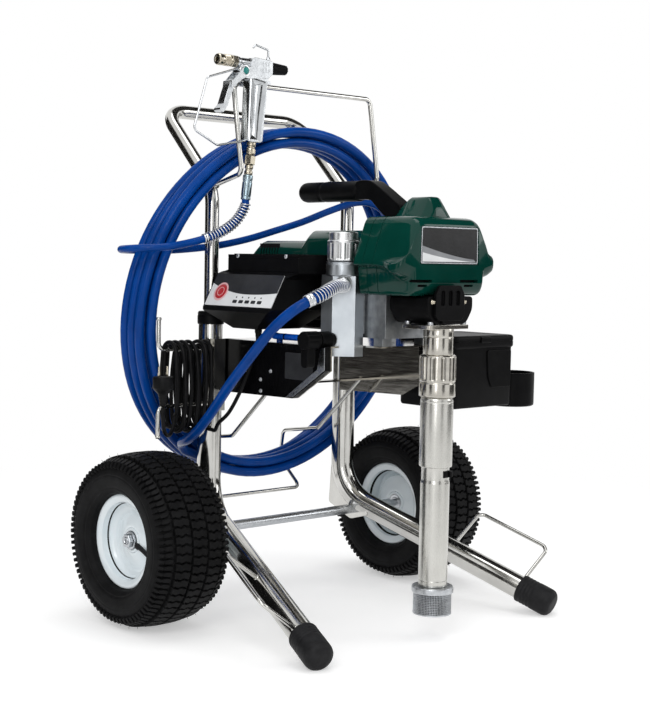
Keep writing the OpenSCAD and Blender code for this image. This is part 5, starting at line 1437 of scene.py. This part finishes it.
# %% Pump cylinder and coupling nut
PUMP = (0, -408, 0)


def scallops(count, depth, low, high):
    """A wave for a turned part: rounded hollows round it between two heights."""
    def wave(r, h, a):
        hollow = max(0.0, cos(count * a)) ** 3
        fade = ease((h - low) / 3) * ease((high - h) / 3)
        return r - depth * hollow * fade
    return wave


cylinder = turned("cylinder",
    [(0, 527), (26.5, 527), (28, 528.5), (28, 560), (27.2, 561), (28, 562), (28, 577), (0, 577)],
    PUMP, sides=64)
flange_plate = plate("flange", "Z",
    rounded([(-54, -436), (54, -436), (54, -362), (-54, -362)], 8, 3), 576, 584)
eased(flange_plate, 0.9)
nut_body = [(0, 451), (31.5, 451), (33.4, 452.2), (34, 454), (34, 476), (33, 477), (32.4, 478.5),
    (33, 480), (34, 481)] + [(34, 481 + 4 * i) for i in range(1, 11)] + [(34, 524), (33.2, 526.6),
    (31, 528.6), (28.2, 529), (0, 529)]
nut_ring = turned("nut_ring", nut_body, PUMP, sides=144, cut=0.8, wave=scallops(12, 2.4, 482, 526))
pump_bolts = copies_on("pump_bolts", socket_head, FINISH["zinc_steel"],
    [((x, y, 584), (0, 0, 1), 0.4) for x in (-44, 44) for y in (-428, -372)])
dress(group("pump_cylinder_and_nut", cylinder, flange_plate, nut_ring), "machined_steel", "frame",
    "pump_cylinder")
dress(pump_bolts, "zinc_steel")
tell("pump_cylinder_and_nut")

# %% Suction tube and clip
SUCTION = [(22, 99), (26, 99), (27, 100), (27, 110), (26.6, 111), (27, 112), (27, 292), (26.2, 296),
    (25.9, 297.5), (25.9, 320.5), (26.6, 321.6), (29.6, 322), (30.5, 323.4), (30.5, 440), (30, 441),
    (30.5, 442), (30.5, 446), (28.6, 450.5), (22, 451)]
dress(turned("suction_tube_skin", SUCTION, PUMP, sides=72, closed=True, cut=0.7), "aluminium_tube",
    "frame", "suction_tube")
clip_band = turned("clip", [(26.1, 303), (27.3, 303.4), (27.3, 315.6), (26.1, 316)], PUMP, sides=72,
    closed=True, cut=0.4)
clip_band = combine(clip_band, "INTERSECT",
    plate("clip_reach", "Z", [(-6, -360), (-6, -450), (60, -450), (60, -360)], 295, 325))
clip_tab = eased(plate("tab", "Z", rounded([(8, -438), (17, -437), (17, -431), (8, -431)], 2), 304,
        315), 0.8)
dress(group("suction_clip", clip_band, clip_tab), "black_plastic")
tell("suction_tube_skin", "suction_clip")

# %% Strainer basket
# Two hoops hold a basket of crossed wires; the wires are copies set round and along the basket.
hoop = turned("hoop", [(22.2, 87), (37.6, 87), (39, 88.4), (39, 97.4), (37.6, 99), (30, 99),
        (22.2, 99)], PUMP, sides=72, closed=True, cut=0.6)
low_hoop = turned("low_hoop", [(34.2, 47), (36, 47), (36, 50), (34.8, 50.6), (34.2, 50)], PUMP,
    sides=72, closed=True, cut=0.4)
bottom = turned("bottom", [(0, 47.6), (34.4, 47.6), (34.4, 49), (0, 49)], PUMP, sides=60)
# A dark cylinder inside the wires: painted shade for the basket's unlit inside.
basket_core = turned("basket_core", [(0, 49.2), (33.3, 49.2), (33.3, 87), (0, 87)], PUMP, sides=60)
upright = hidden(turned("upright", [(0, 0), (0.62, 0), (0.62, 38), (0, 38)], sides=6, cut=0))
uprights = copies_on("uprights", upright, FINISH["zinc_steel"],
    [((34.6 * cos(a), -408 + 34.6 * sin(a), 49.5), (0, 0, 1)) for a in np.arange(72) * 2 * pi / 72])
round_wires = [turned("wire", [(34.2, z), (35.2, z - 0.6), (35.8, z), (35.2, z + 0.6)], PUMP,
        sides=72, closed=True, cut=0) for z in np.arange(52.5, 86.5, 3.1)]
dress(group("strainer_basket", hoop, low_hoop, bottom, *round_wires, uprights), "zinc_steel",
    "frame", "inlet_strainer")
dress(basket_core, "zinc_steel", finish="painted_shade_inside")
tell("strainer_basket")

# %% [markdown]
# ## Manifold, filter cap and prime valve
# The manifold is a clear anodised aluminium block with a turned neck, and a fluted cap closes its
# filter chamber. The prime valve at its foot has a black knob with a lever, and a blue drain hose.

# %% Manifold and filter cap
NECK = (-102, -258, 0)
block_shape = [(-76, -228), (-76, -288), (-98, -288), (-128, -258), (-128, -228)]
manifold = combine(plate("manifold", "Z", block_shape, 520, 671), "DIFFERENCE",
    turned("outlet_seat", [(0, -1.2), (14.5, -1.2), (14.5, 30), (0, 30)], (-113, -273, 657),
        outlet_way, 40))
eased(manifold, 1.6, 3)
neck = turned("neck", [(0, 669), (31, 669), (32, 670.6), (32, 690), (30.6, 692), (30.6, 693),
        (31.4, 694), (30.6, 695), (0, 695)], NECK, sides=72, cut=0.6)
dress(group("manifold_and_neck", manifold, neck), "aluminium_block", "frame", "manifold_block")


def flutes(r, h, a):
    """Twelve flat-bottomed flutes round the cap."""
    hollow = ease((cos(12 * a) + 0.25) / 0.5)
    return r - 1.9 * hollow * ease((h - 699) / 2.5) * ease((731 - h) / 2.5)


cap_profile = [(0, 695.4), (26, 695.4), (29.2, 697), (30, 698),
    (30, 699)] + [(30, 699 + 2 * i) for i in range(1, 17)] + [(30, 733.4), (28.6, 735), (27, 735.4),
    (27, 748.4), (25.8, 750), (9.5, 750)]
cap = turned("cap", cap_profile + [(9.5, 743), (0, 743)], NECK, sides=144, cut=0.6, wave=flutes)
dress(cap, "aluminium_block", "filter", "filter_cap", finish="bright_cap")
tell("manifold_and_neck", cap.name)

# %% Hose outlet
outlet_mm = outlet_at / MM
hex_faces = [[outlet_mm + outlet_way * h
        + f * 12.4 * (cos(t) * across(outlet_way)[0] + sin(t) * across(outlet_way)[1])
        for t in np.arange(6) * pi / 3] for h, f in ((-1, 1), (9, 1), (10.5, 0.9))]
outlet = group("outlet_fitting_parts", loft("hex", hex_faces),
    turned("neck", [(0, 9), (10.4, 9), (11, 10), (11, 17), (10, 18.5), (10.6, 20), (0, 20)],
        outlet_mm, outlet_way, 40))
dress(outlet, "machined_steel", "frame", "outlet_fitting")
tell("outlet_fitting_parts")

# %% Prime valve, knob and drain hose
valve_body = turned("valve_body",
    [(0, 0), (12, 0), (13, 1), (13, 9), (15.4, 10), (16, 11), (16, 34), (15, 36), (0, 36)],
    (-128, -260, 551), (-1, 0, 0), 48)
ferrule = turned("drain_ferrule",
    [(6.3, 0), (7.3, 0.3), (7.5, 0.8), (7.5, 12), (6.9, 13), (7.5, 14), (7.5, 26), (6.9, 27),
        (7.5, 28), (7.5, 52), (7, 53), (6.3, 53)], (-146, -190.3, 551), (0, -1, 0), 32, closed=True)
dress(valve_body, "black_plastic", "frame", "prime_valve")
dress(ferrule, "black_plastic", finish="machined_steel")


def grips(r, h, a):
    """Eight grooves round the prime knob's rim."""
    return r - 1.1 * max(0.0, cos(8 * a)) ** 2 * ease((h - 2) / 3) * (1.0 if r > 15 else 0.0)


knob = turned("knob", [(0, -8), (5, -8), (5, 0), (16, 0), (17, 1.2)]
    + [(17, 3 + 3 * i) for i in range(9)] + [(17, 31), (15.6, 33), (0, 33)], (-168, -260, 551),
    (-1, 0, 0), 96, 0.8, wave=grips)
lever = eased(plate("lever", "X",
        rounded([(-250, 544), (-270, 544), (-270, 506), (-266, 500.5), (-254, 500.5), (-250, 506)],
            4, 2), -198, -178), 2.2, 3)
dress(group("prime_knob_and_lever", knob, lever), "black_plastic", "prime_knob", "prime_knob")
drain_path = bent_path([(-0.146, -0.226, 0.551), (-0.146, -0.112, 0.551), (-0.128, -0.112, 0.551),
        (-0.128, -0.112, 0.452)], [0, 0.008, 0.008, 0])
dress(tube("drain_hose_tube", drain_path, 0.0062, 18, bore=(0.003, 0.002)), "light_blue_hose",
    "frame", "drain_hose")
tell("prime_knob_and_lever", "drain_hose_tube")

# %% [markdown]
# ## Control box
# A black moulded housing holds the electronics. Its top carries a ribbed cover, and the sloping
# face is closed by a printed film: a dark field with a curved lower edge, a white field, a round
# pressure switch and five small keys under the film. The film's fields are thin raised sheets.

# %% Housing
FRONT_OUTLINE = [(-225, 598), (-225, 604), (-190, 668), (-180, 672), (-180, 706), (-78, 706),
    (-78, 564), (-190, 564)]
SIDE_OUTLINE = [(6, 598), (6, 672), (-15, 676), (-15, 706), (-222, 706), (-222, 672), (-198, 660),
    (-198, 604), (-115, 564), (-45, 564)]
housing = combine(plate("housing", "Y", FRONT_OUTLINE, -222, 6), "INTERSECT",
    plate("side_view", "X", SIDE_OUTLINE, -230, -70))
TILT = radians(28.7)
PANEL_ORIGIN, PANEL_U = np.array((-190.0, 6.0, 668.0)), np.array((0.0, -1.0, 0.0))
PANEL_V = np.array((sin(TILT), 0.0, cos(TILT)))
PANEL_W = np.array((-cos(TILT), 0.0, sin(TILT)))


def on_panel(u, v, w=0.0):
    """A point of the sloping panel: u to the front, v up the slope, w outward."""
    return PANEL_ORIGIN + u * PANEL_U + v * PANEL_V + w * PANEL_W


def film(name, outline_points, low, high, cut=0.0):
    """A flat sheet on the sloping panel."""
    shape = rounded(outline_points, cut, 3) if cut else outline_points
    return loft(name, [[on_panel(q[0], q[1], w) for q in shape] for w in (low, high)])


housing = combine(housing, "DIFFERENCE",
    film("panel_seat", [(2.6, -69.6), (201.6, -69.6), (201.6, 0.6), (2.6, 0.6)], -1.4, 6),
    rod("gland_hole", (-172, -100, 550), (-172, -100, 590), 7.2, 32, 0),
    block("lip_line", (-181, -224, 673.4), (-179, 8, 674.8)),
    block("cover_line", (-182, -226, 699.6), (-179.2, 0, 700.4)))
dress(soften(housing, 1.6, 3), "black_plastic", "frame", "control_housing")
cover_ribs = copies_on("cover_ribs",
    hidden(soften(block("rib", (-44, -0.8, -0.4), (44, 0.8, 1.6)), 0.3)), FINISH["black_plastic"],
    [((-130, y, 706), (0, 0, 1)) for y in np.arange(-214, -20, 8.5)])
dress(cover_ribs, "black_plastic")
cover_screws = copies_on("cover_screws", pan_head, FINISH["zinc_steel"],
    [((-180, y, 703), (-1, 0, 0.1)) for y in (-46, -186)])
dress(cover_screws, "zinc_steel")
gearbox_bridge = soften(block("bridge", (-79, -214, 660), (-70, -194, 690)), 1)
dress(gearbox_bridge, "black_plastic")
tell(housing.name)

# %% Film, keys and switch
FILM = [(3.3, -68.7), (200.7, -68.7), (200.7, -0.3), (3.3, -0.3)]
white_sheet = film("panel_film", FILM, -0.8, 0.5, 1.5)
dress(white_sheet, "panel_film", "frame", "control_panel")
curve_edge = [(u, -43 + 16 * ((u - 120) / 100) ** 2 if u < 120 else -43 + 5 * ((u - 120) / 80) ** 2)
    for u in np.linspace(200.7, 3.3, 36)]
dark_field = film("panel_dark_field", [(3.3, -0.3), (200.7, -0.3)] + curve_edge, 0.45, 0.72)
dress(dark_field, "panel_film", finish="dark_film")


def disc(name, u, v, radius, low, high, inner=0.0):
    """A round sheet, or a ring, on the panel."""
    loop = [(inner, low), (radius, low), (radius, high), (inner, high)] if inner else [(0, low),
        (radius, low), (radius, high), (0, high)]
    return turned(name, loop, on_panel(u, v), PANEL_W, 56, 0.12, closed=bool(inner))


dress(disc("switch_disc", 37, -39, 15.2, 0.5, 1.5), "panel_film", finish="red_film")
dress(disc("switch_ring", 37, -39, 19.6, 0.5, 1.1, 15.6), "panel_film", finish="pink_film")
dress(disc("switch_mark", 37, -39, 9.4, 1.5, 1.7, 8.0), "panel_film", finish="pink_film")
keys = group("panel_keys", *[film("key",
            rounded([(84 + 18 * i, -62), (96 + 18 * i, -62), (96 + 18 * i, -55.6),
            (84 + 18 * i, -55.6)], 1.6, 2), 0.4, 1.3) for i in range(5)])
dress(soften(keys, 0.25), "panel_film", finish="dark_film")
lamps = group("panel_lamps", *[disc("lamp", 90 + 18 * i, -49.5, 1.7, 0.4, 0.8) for i in range(5)])
dress(lamps, "panel_film", finish="dark_film")
tell("panel_film", "panel_keys")

# %% [markdown]
# ## Tool box
# A black moulded box with drafted walls, a rolled rim, a lid that rests on it and turns on a rear
# hinge, and a round holder at its right for a cup.

# %% Tool box body
BOX_X, BOX_Y, BOX_W, BOX_L = 165, -300, 180, 150


def box_ring(grow_by, z, cut, rear=99.0):
    """The box's outline at a height, grown all round; rear limits how far its back edge grows."""
    a, b = BOX_X - grow_by, BOX_X + BOX_W + grow_by
    c, d = BOX_Y - grow_by, BOX_Y + BOX_L + min(grow_by, rear)
    return [(q[0], q[1], z) for q in rounded([(a, c), (b, c), (b, d), (a, d)], cut, 5)]


BOX_STEPS = [(-3.5, 407, 10), (-1.4, 408.4, 12), (0, 412, 13), (0, 526, 13), (1.6, 527.6, 14),
    (2.6, 529, 14), (3, 531, 14), (3, 539, 14), (2.4, 540, 14)]
box_shape = loft("box_outside", [box_ring(*step) for step in BOX_STEPS], 30)
box_shape = combine(box_shape, "DIFFERENCE",
    loft("box_inside", [box_ring(-7, 410, 9), box_ring(-3.4, 416, 10), box_ring(-3, 560, 11)]))
CUP, CUP_REACH = Vector((396, -252)), 50
holder = turned("cup_holder",
    [(0, 400), (46, 400), (49.4, 402), (50, 405), (50, 463), (51, 464), (51, 468.6), (49.6, 470),
        (47, 470), (46, 468.6), (46, 407), (44, 404.6), (0, 404.6)], (*CUP, 0), sides=72, cut=0.9)
for corner in holder.data.vertices:
    from_cup = corner.co.xy - CUP * MM
    if from_cup.length > CUP_REACH * MM:
        corner.co.xy = CUP * MM + from_cup * (CUP_REACH * MM / from_cup.length)
bracket = combine(plate("holder_arm", "Z",
        rounded([(338, -282), (384, -282), (384, -222), (338, -222)], 5), 404, 449), "DIFFERENCE",
    rod("round", (*CUP, 390), (*CUP, 460), 49, 64, 0),
    block("box", (300, -300, 400), (344, -150, 470)))
eased(bracket, 1.4)
wall_pad = eased(block("wall_pad", (152, -280, 470), (166, -160, 520)), 1.5)
side_pocket = eased(plate("front_pocket", "Y",
        rounded([(276, 446), (336, 446), (336, 522), (262, 522), (266, 470)], 6, 4), -303, -299),
    1.6, 3)
knuckles = [combine(plate("knuckle", "X",
            rounded([(-148, 530), (-137, 530), (-137, 546), (-148, 546)], 4, 3), x, x + 20),
        "DIFFERENCE", rod("pin_hole", (x - 1, -142.5, 543), (x + 21, -142.5, 543), 3.2, 24, 0))
    for x in (177, 313)]
dress(group("tool_box_body", box_shape, holder, bracket, wall_pad, side_pocket, *knuckles),
    "black_plastic", "frame", "toolbox_body")
tell("tool_box_body")

# %% Lid and latch
LID_STEPS = [(-3, 549), (-3, 540.3), (2.4, 540.3), (3, 541), (3, 547), (2.2, 549.6), (0.4, 551.3),
    (-3, 552), (-18, 551.7), (-20, 551.0), (-22, 550.9)]
lid = loft("lid", [box_ring(grow_by, z, 14, 1.5) for grow_by, z in LID_STEPS], 30)
lid_knuckles = [combine(plate("lid_knuckle", "X",
            rounded([(-149, 541), (-139.5, 541), (-139.5, 549), (-149, 552)], 3, 3), x, x + 20),
        "UNION", rod("pin", (x0, -142.5, 543), (x1, -142.5, 543), 3, 24, 0.3))
    for x, x0, x1 in ((197.3, 177, 205), (292.7, 305, 333))]
latch = eased(plate("latch", "X",
        rounded([(-303, 536), (-305.5, 538), (-305.5, 549), (-300, 550.5), (-300, 541)], 1.5, 2),
        240, 270), 0.7)
dress(group("tool_box_lid", lid, *lid_knuckles, latch), "black_plastic", "toolbox_lid",
    "toolbox_lid")
tell("tool_box_lid")

# %% [markdown]
# ## Spray gun
# The gun is a buffed aluminium casting: a round nose, a head that leans over the trigger, and a
# long flat grip. The trigger turns on a pin with a teal cap. A wire guards the fingers, another
# wire on top hangs the gun up, and a black knob behind sets the needle's spring. The casting's
# outline is pushed through its thickness and its edges are rounded well, then the tubes are joined
# on.

# %% Casting
GUN_Y = -53


def gun_plate(name, points, thick, cut=0.0, shift=0.0, steps=3):
    """An outline of the gun's side view, centred on its middle plane."""
    return plate(name, "Y", [(q[0] - 6, q[1])
            for q in (rounded(points, cut, steps) if cut else points)], GUN_Y + shift - thick / 2,
        GUN_Y + shift + thick / 2)


def gun_mm(x, z, shift=0.0):
    return np.array((x - 6.0, GUN_Y + shift, float(z)))


def gun_rod(name, x0, z, profile, sides=40, **more):
    """A turned part that lies along the gun's nose, from x0 forwards."""
    return turned(name, profile, gun_mm(x0, z), (-1, 0, 0), sides, **more)


grip_part = eased(gun_plate("grip",
        [(-165, 1050), (-118, 1050), (-121, 1036), (-132, 924), (-136, 921.3), (-166, 921.3),
            (-170, 925)], 21, 5), 7.5, 5)
head = eased(gun_plate("head",
        [(-166, 1041), (-178, 1041), (-190, 1052), (-188, 1064), (-163, 1064), (-160, 1081),
            (-151, 1083), (-110, 1079.5), (-108, 1077), (-108, 1055), (-119, 1045)], 21.5, 4), 3.2,
    4)
nose = gun_rod("nose", -138, 1072,
    [(0, 0), (9.2, 0), (10, 1), (10, 22), (8.8, 26), (8.6, 44), (9.4, 48), (10, 50), (10, 54),
        (9.4, 55), (0, 55)])
pivot_boss = turned("boss", [(0, -10.9), (11.4, -10.9), (13, -9.6), (13, 9.6), (11.4, 10.9),
        (0, 10.9)], gun_mm(-178, 1055), (0, -1, 0), 40)
body_ribs = [eased(gun_plate("rib", [(x, 1056), (x + 3, 1056), (x + 3, 1077), (x, 1077)], 22.6),
        0.9) for x in (-120, -127, -134)]
rest_lug = eased(block("lug", (-168, -53, 1039.6), (-142, -20, 1051)), 2)
lock_stem = rod("lock_stem", gun_mm(-128, 1044, 10.5), gun_mm(-128, 1044, 16), 3, 24, 0.5)
grip_groove = [gun_plate("groove",
        rounded([(-160, 935), (-157, 935), (-150, 1030), (-153, 1030)], 1.2, 2), 2, 0, s * 10.6)
    for s in SIDES]
grip_part = combine(grip_part, "DIFFERENCE", *grip_groove)
gun_casting = group("gun_casting", grip_part, head, nose, pivot_boss, rest_lug, lock_stem,
    *body_ribs)
dress(gun_casting, "gun_aluminium", "handle", "gun_body")
tell("gun_casting")

# %% Nozzle
nozzle = gun_rod("nozzle", -193, 1072,
    [(3.5, 14), (10.4, 14), (11, 15), (11, 17)]
    + [(11.1 - (0.9 if i % 2 else 0), 18 + 1.1 * i) for i in range(11)]
    + [(10.4, 30.5), (9.4, 31), (9.4, 34), (11, 35), (11.1, 37), (11.1, 43), (9.8, 45.6), (7, 46),
        (5, 45.2), (3.5, 45.4)], 48, closed=True, cut=0.3)
nose_nut = loft("nose_nut", [[gun_mm(-193 - h, 1072) + (0, f * 12.4 * cos(t), f * 12.4 * sin(t))
            for t in np.arange(6) * pi / 3 + 0.26]
        for h, f in ((0, 0.93), (1.2, 1), (12.6, 1), (13.8, 0.93))], 25)
tell(nozzle.name, nose_nut.name)

# %% Swivel and sleeve
swivel_mm, ferrule_mm = gun_mm(-151, 921), gun_mm(-164, 811)
down = unit(ferrule_mm - swivel_mm)
swivel = turned("swivel", [(0, -1), (8.4, -1), (9, 0), (9, 6), (7.2, 7.5), (7.2, 10), (8.8, 11.4),
        (8.8, 22), (7.6, 24), (0, 24)], swivel_mm, down, 44)


def hex_on(name, at, way, start, end, radius):
    """A hexagon nut on a line, its ends a little smaller."""
    a, b = across(way)
    return loft(name, [[at + way * h + f * radius * (cos(t) * a + sin(t) * b)
                for t in np.arange(6) * pi / 3]
            for h, f in ((start, 0.92), (start + 1.2, 1), (end - 1.2, 1), (end, 0.92))], 25)


swivel_parts = [swivel, hex_on("nut_a", swivel_mm, down, 12, 22, 9.6),
    hex_on("nut_b", swivel_mm, down, 25, 43, 11.4),
    turned("stem", [(0, 43), (7, 43), (8.4, 45), (8.4, 50), (6.8, 51.5), (6.8, 54), (8.4, 55.5),
            (8.4, 62), (0, 62)], swivel_mm, down, 44)]
dress(group("nozzle_and_swivel", nozzle, nose_nut, *swivel_parts), "nickel_brass", "handle",
    "gun_fittings")
sleeve_long = float(np.linalg.norm(ferrule_mm - swivel_mm))
sleeve = turned("hose_sleeve",
    [(7.4, 63), (9.2, 63), (9.8, 64), (9.8, 72), (9.1, 73.5), (9.1, 76), (9.8, 77.5),
        (9.8, sleeve_long - 8), (9.2, sleeve_long - 6.5), (9.2, sleeve_long - 4.5),
        (9.8, sleeve_long - 3), (9.6, sleeve_long), (7.4, sleeve_long)], swivel_mm, down, 44,
    closed=True, cut=0.5)
dress(sleeve, "nickel_brass", "handle", finish="blue_grey_steel")
tell("nozzle_and_swivel", "hose_sleeve")

# %% Needle knob
def knob_wave(r, h, a):
    """Ten shallow finger grooves along the knob."""
    return r - 0.9 * max(0.0, cos(10 * a)) * ease((h - 7) / 2)


gun_knob = turned("needle_knob",
    [(0, 0), (11.6, 0), (12.5, 1), (12.5, 5), (11.6, 6)]
    + [(12 - 0.075 * h, 6 + h) for h in range(1, 34, 3)] + [(9.4, 40), (8.2, 41), (0, 41)],
    gun_mm(-108, 1067), (1, 0, 0), 100, 0.5, wave=knob_wave)
dress(gun_knob, "black_plastic", "handle", "gun_knob")
tell("needle_knob")

# %% Trigger and lock
cheeks = [gun_plate("cheek", hull_outline([(-178, 1055, 8.4), (-205, 1031, 5)]), 2, 0, s * 12.4)
    for s in SIDES]
blade = eased(gun_plate("blade",
        [(-211, 1036), (-200, 1032), (-209, 1010), (-219, 986), (-229, 971.5), (-236, 974.5),
            (-238, 980), (-229, 988), (-220, 1014)], 19.5, 4), 3.2, 4)
bridge_part = eased(gun_plate("bridge", [(-212, 1035), (-199, 1035), (-201, 1024), (-214, 1020)],
        26.6, 2), 1.6, 3)
pin_part = turned("pin", [(0, -13.6), (4, -13.6), (4, 13.6), (0, 13.6)], gun_mm(-178, 1055),
    (0, -1, 0), 24)
dress(soften(group("gun_trigger_blade", *cheeks, blade, bridge_part, pin_part), 0.35, 2, 40),
    "gun_aluminium", "gun_trigger", "trigger")
teal = turned("pivot_cap", [(0, 13.2), (6.6, 13.2), (6.6, 13.9), (5.8, 14.5), (0, 14.6)],
    gun_mm(-178, 1055), (0, -1, 0), 36, 0.4)
pivot_ring = turned("pivot_ring", [(6.6, 13.2), (8.2, 13.2), (8.2, 14), (7.4, 14.5), (6.6, 14.1)],
    gun_mm(-178, 1055), (0, -1, 0), 36, 0.3, closed=True)
dress(teal, "gun_aluminium", "gun_trigger", finish="teal_cap")
dress(pivot_ring, "gun_aluminium", "gun_trigger")
lock = soften(gun_plate("lock_lever", hull_outline([(-128, 1044, 5.5), (-97, 1041, 3)]), 2.4, 0,
        12.5), 0.5)
dress(lock, "zinc_steel", "gun_lock", "trigger_lock")
tell("gun_trigger_blade", lock.name)

# %% Wires
def gun_wire(corners, bends):
    """A bent wire beside the gun's middle plane, its bends in millimetres."""
    points = [gun_mm(x, z, WIRE_SHIFT) * MM for x, z in corners]
    return bent_path(points, [bend * MM for bend in bends])


WIRE_SHIFT = -1.2
guard_path = gun_wire([(-180, 1062), (-262, 1036), (-293, 937), (-236, 911), (-160, 926)],
    [0, 10, 10, 10, 0])
hang_path = gun_wire([(-113, 1074), (-113, 1101), (-145, 1108), (-151, 1102)], [0, 3, 3, 0])
hanger_nut = turned("hanger_nut",
    [(0, 0), (4.2, 0), (4.6, 0.8), (4.6, 5), (3.6, 6), (3.2, 9), (0, 9)],
    gun_mm(-113, 1079, WIRE_SHIFT), (0, 0, 1), 24)
dress(group("guard_and_hanger_wires", tube("guard", guard_path, 0.0021, 12),
        tube("hanger", hang_path, 0.002, 14), hanger_nut), "spring_wire", "handle", "trigger_guard")
tell("guard_and_hanger_wires")

# %% [markdown]
# ## Floor, walls of light and finish
# Bright metal shows the room more than itself. A white floor and sky alone would leave chrome
# empty, so tall dark panels stand outside the view, as in a photo studio, and give each tube its
# dark and light bands. The floor is white paper that keeps the object's soft shadow.

# %% Dark panels
def stage_sheet(name, corners, finish, seen=False):
    """A flat sheet of the studio; the camera doesn't see the panels, only their reflections."""
    data = bpy.data.meshes.new(name)
    data.from_pydata(corners, [], [(0, 1, 2, 3)])
    data.materials.append(finish)
    sheet = new_object(name, data)
    if not seen:
        sheet.visible_camera = sheet.visible_shadow = sheet.visible_diffuse = False
    return sheet


def upright_corners(bearing, distance, width, low, high):
    """The corners of an upright panel that faces the cart, from its bearing in degrees."""
    a = radians(bearing)
    facing = np.array((-cos(a), -sin(a), 0))
    side = np.cross((0, 0, 1), facing) * width / 2
    middle, up = -distance * facing + (0, 0, (low + high) / 2), np.array((0, 0, (high - low) / 2))
    return [tuple(middle + u * side + v * up) for u, v in ((-1, -1), (1, -1), (1, 1), (-1, 1))]


flag_black = new_finish("black_velvet", Base_Color=colour("#1a1815"), Roughness=1.0)[0]
# Each panel: its bearing in degrees, distance, width and the heights of its two edges, in metres.
PANELS = {"flag_left": (188, 3.4, 1.0, 0.05, 2.25), "flag_front": (262, 4.2, 1.1, 0.05, 2.25),
    "flag_right": (338, 3.6, 0.7, 0.05, 2.25), "flag_back": (92, 4.0, 2.2, 0.05, 2.25),
    "flag_side": (8, 4.0, 1.2, 0.05, 2.25), "flag_rear_left": (132, 3.6, 3.2, 0.02, 3.9),
    "flag_low": (318, 3.4, 2.2, 0.02, 0.72)}
for name, panel in PANELS.items():
    stage_sheet(name, upright_corners(*panel), flag_black)
stage_sheet("dark_ceiling", [(0.3, -3.2, 3.0), (0.3, 1.2, 3.0), (3.4, 1.2, 3.0), (3.4, -3.2, 3.0)],
    flag_black)
print("panels:", list(PANELS), "and a ceiling")

# %% Floor and sky
def seen_directly(tree):
    """1 for rays that show the surface itself: from the camera, a mirror or clear material."""
    ray = add(tree, "ShaderNodeLightPath").outputs
    two = add(tree, "ShaderNodeMath", {0: ray["Is Camera Ray"], 1: ray["Is Glossy Ray"]},
        operation="ADD")
    return add(tree, "ShaderNodeMath", {0: two, 1: ray["Is Transmission Ray"]}, operation="ADD",
        use_clamp=True).outputs[0]


# The floor is matt white paper near the object and runs out into plain white light, so it has no
# horizon.
PAPER_LIFT, FADE_FROM, FADE_TO = 0.4, 0.9, 1.9
paper = bpy.data.materials.new("white_paper")
paper.use_nodes = True
paper_nodes = paper.node_tree
paper_nodes.nodes.clear()
seen = seen_directly(paper_nodes)
from_middle_m = add(paper_nodes, "ShaderNodeVectorMath",
    {0: add(paper_nodes, "ShaderNodeTexCoord").outputs["Object"]}, operation="LENGTH")
fade = add(paper_nodes, "ShaderNodeMapRange",
    {"Value": from_middle_m.outputs["Value"], "From Min": FADE_FROM, "From Max": FADE_TO})
far = add(paper_nodes, "ShaderNodeMath", {0: seen, 1: fade}, operation="MULTIPLY")
lift = add(paper_nodes, "ShaderNodeMath", {0: seen, 1: PAPER_LIFT}, operation="MULTIPLY")
white = add(paper_nodes, "ShaderNodeBsdfDiffuse", {"Color": (0.8, 0.8, 0.8, 1)})
glow = add(paper_nodes, "ShaderNodeEmission", {"Color": (1, 1, 1, 1), "Strength": lift})
paper_sum = add(paper_nodes, "ShaderNodeAddShader", {0: white, 1: glow})
light = add(paper_nodes, "ShaderNodeEmission", {"Color": (1, 1, 1, 1), "Strength": 1.0})
paper_mix = add(paper_nodes, "ShaderNodeMixShader", {0: far, 1: paper_sum, 2: light})
add(paper_nodes, "ShaderNodeOutputMaterial", {"Surface": paper_mix})
stage_sheet("floor", [(-40, -40, 0), (40, -40, 0), (40, 40, 0), (-40, 40, 0)], paper, seen=True)

world = bpy.data.worlds.new("studio")
scene.world = world
world.use_nodes = True
sky = world.node_tree
sky.nodes.clear()
SKY_LIGHT = 0.62
strength = add(sky, "ShaderNodeMapRange",
    {"Value": seen_directly(sky), "To Min": SKY_LIGHT, "To Max": 1.0})
backdrop = add(sky, "ShaderNodeBackground", {"Color": (1, 1, 1, 1), "Strength": strength})
add(sky, "ShaderNodeOutputWorld", {"Surface": backdrop})
print("floor fades to white between", FADE_FROM, "and", FADE_TO, "m")

# %% Lamps
def soft_box(name, place, target, width, height, power):
    """A large area lamp that points at a target."""
    data = bpy.data.lights.new(name, "AREA")
    data.shape, data.size, data.size_y, data.energy = "RECTANGLE", width, height, power
    lamp = new_object(name, data)
    lamp.location = place
    lamp.rotation_euler = (Vector(place) - Vector(target)).to_track_quat("Z", "Y").to_euler()


soft_box("key_box", (-2.6, -1.8, 2.6), (0, -0.1, 0.5), 1.6, 1.2, 26)
soft_box("top_box", (0.3, -0.3, 3.2), (0, -0.1, 0.5), 1.8, 1.8, 24)
soft_box("right_box", (2.6, -2.4, 1.8), (0, -0.2, 0.5), 0.9, 1.8, 14)
soft_box("corner_box", (-2.7, -2.3, 0.9), (-0.1, -0.3, 0.6), 0.5, 1.3, 9)

# %% Clearing away the patterns
remove(*PATTERNS)
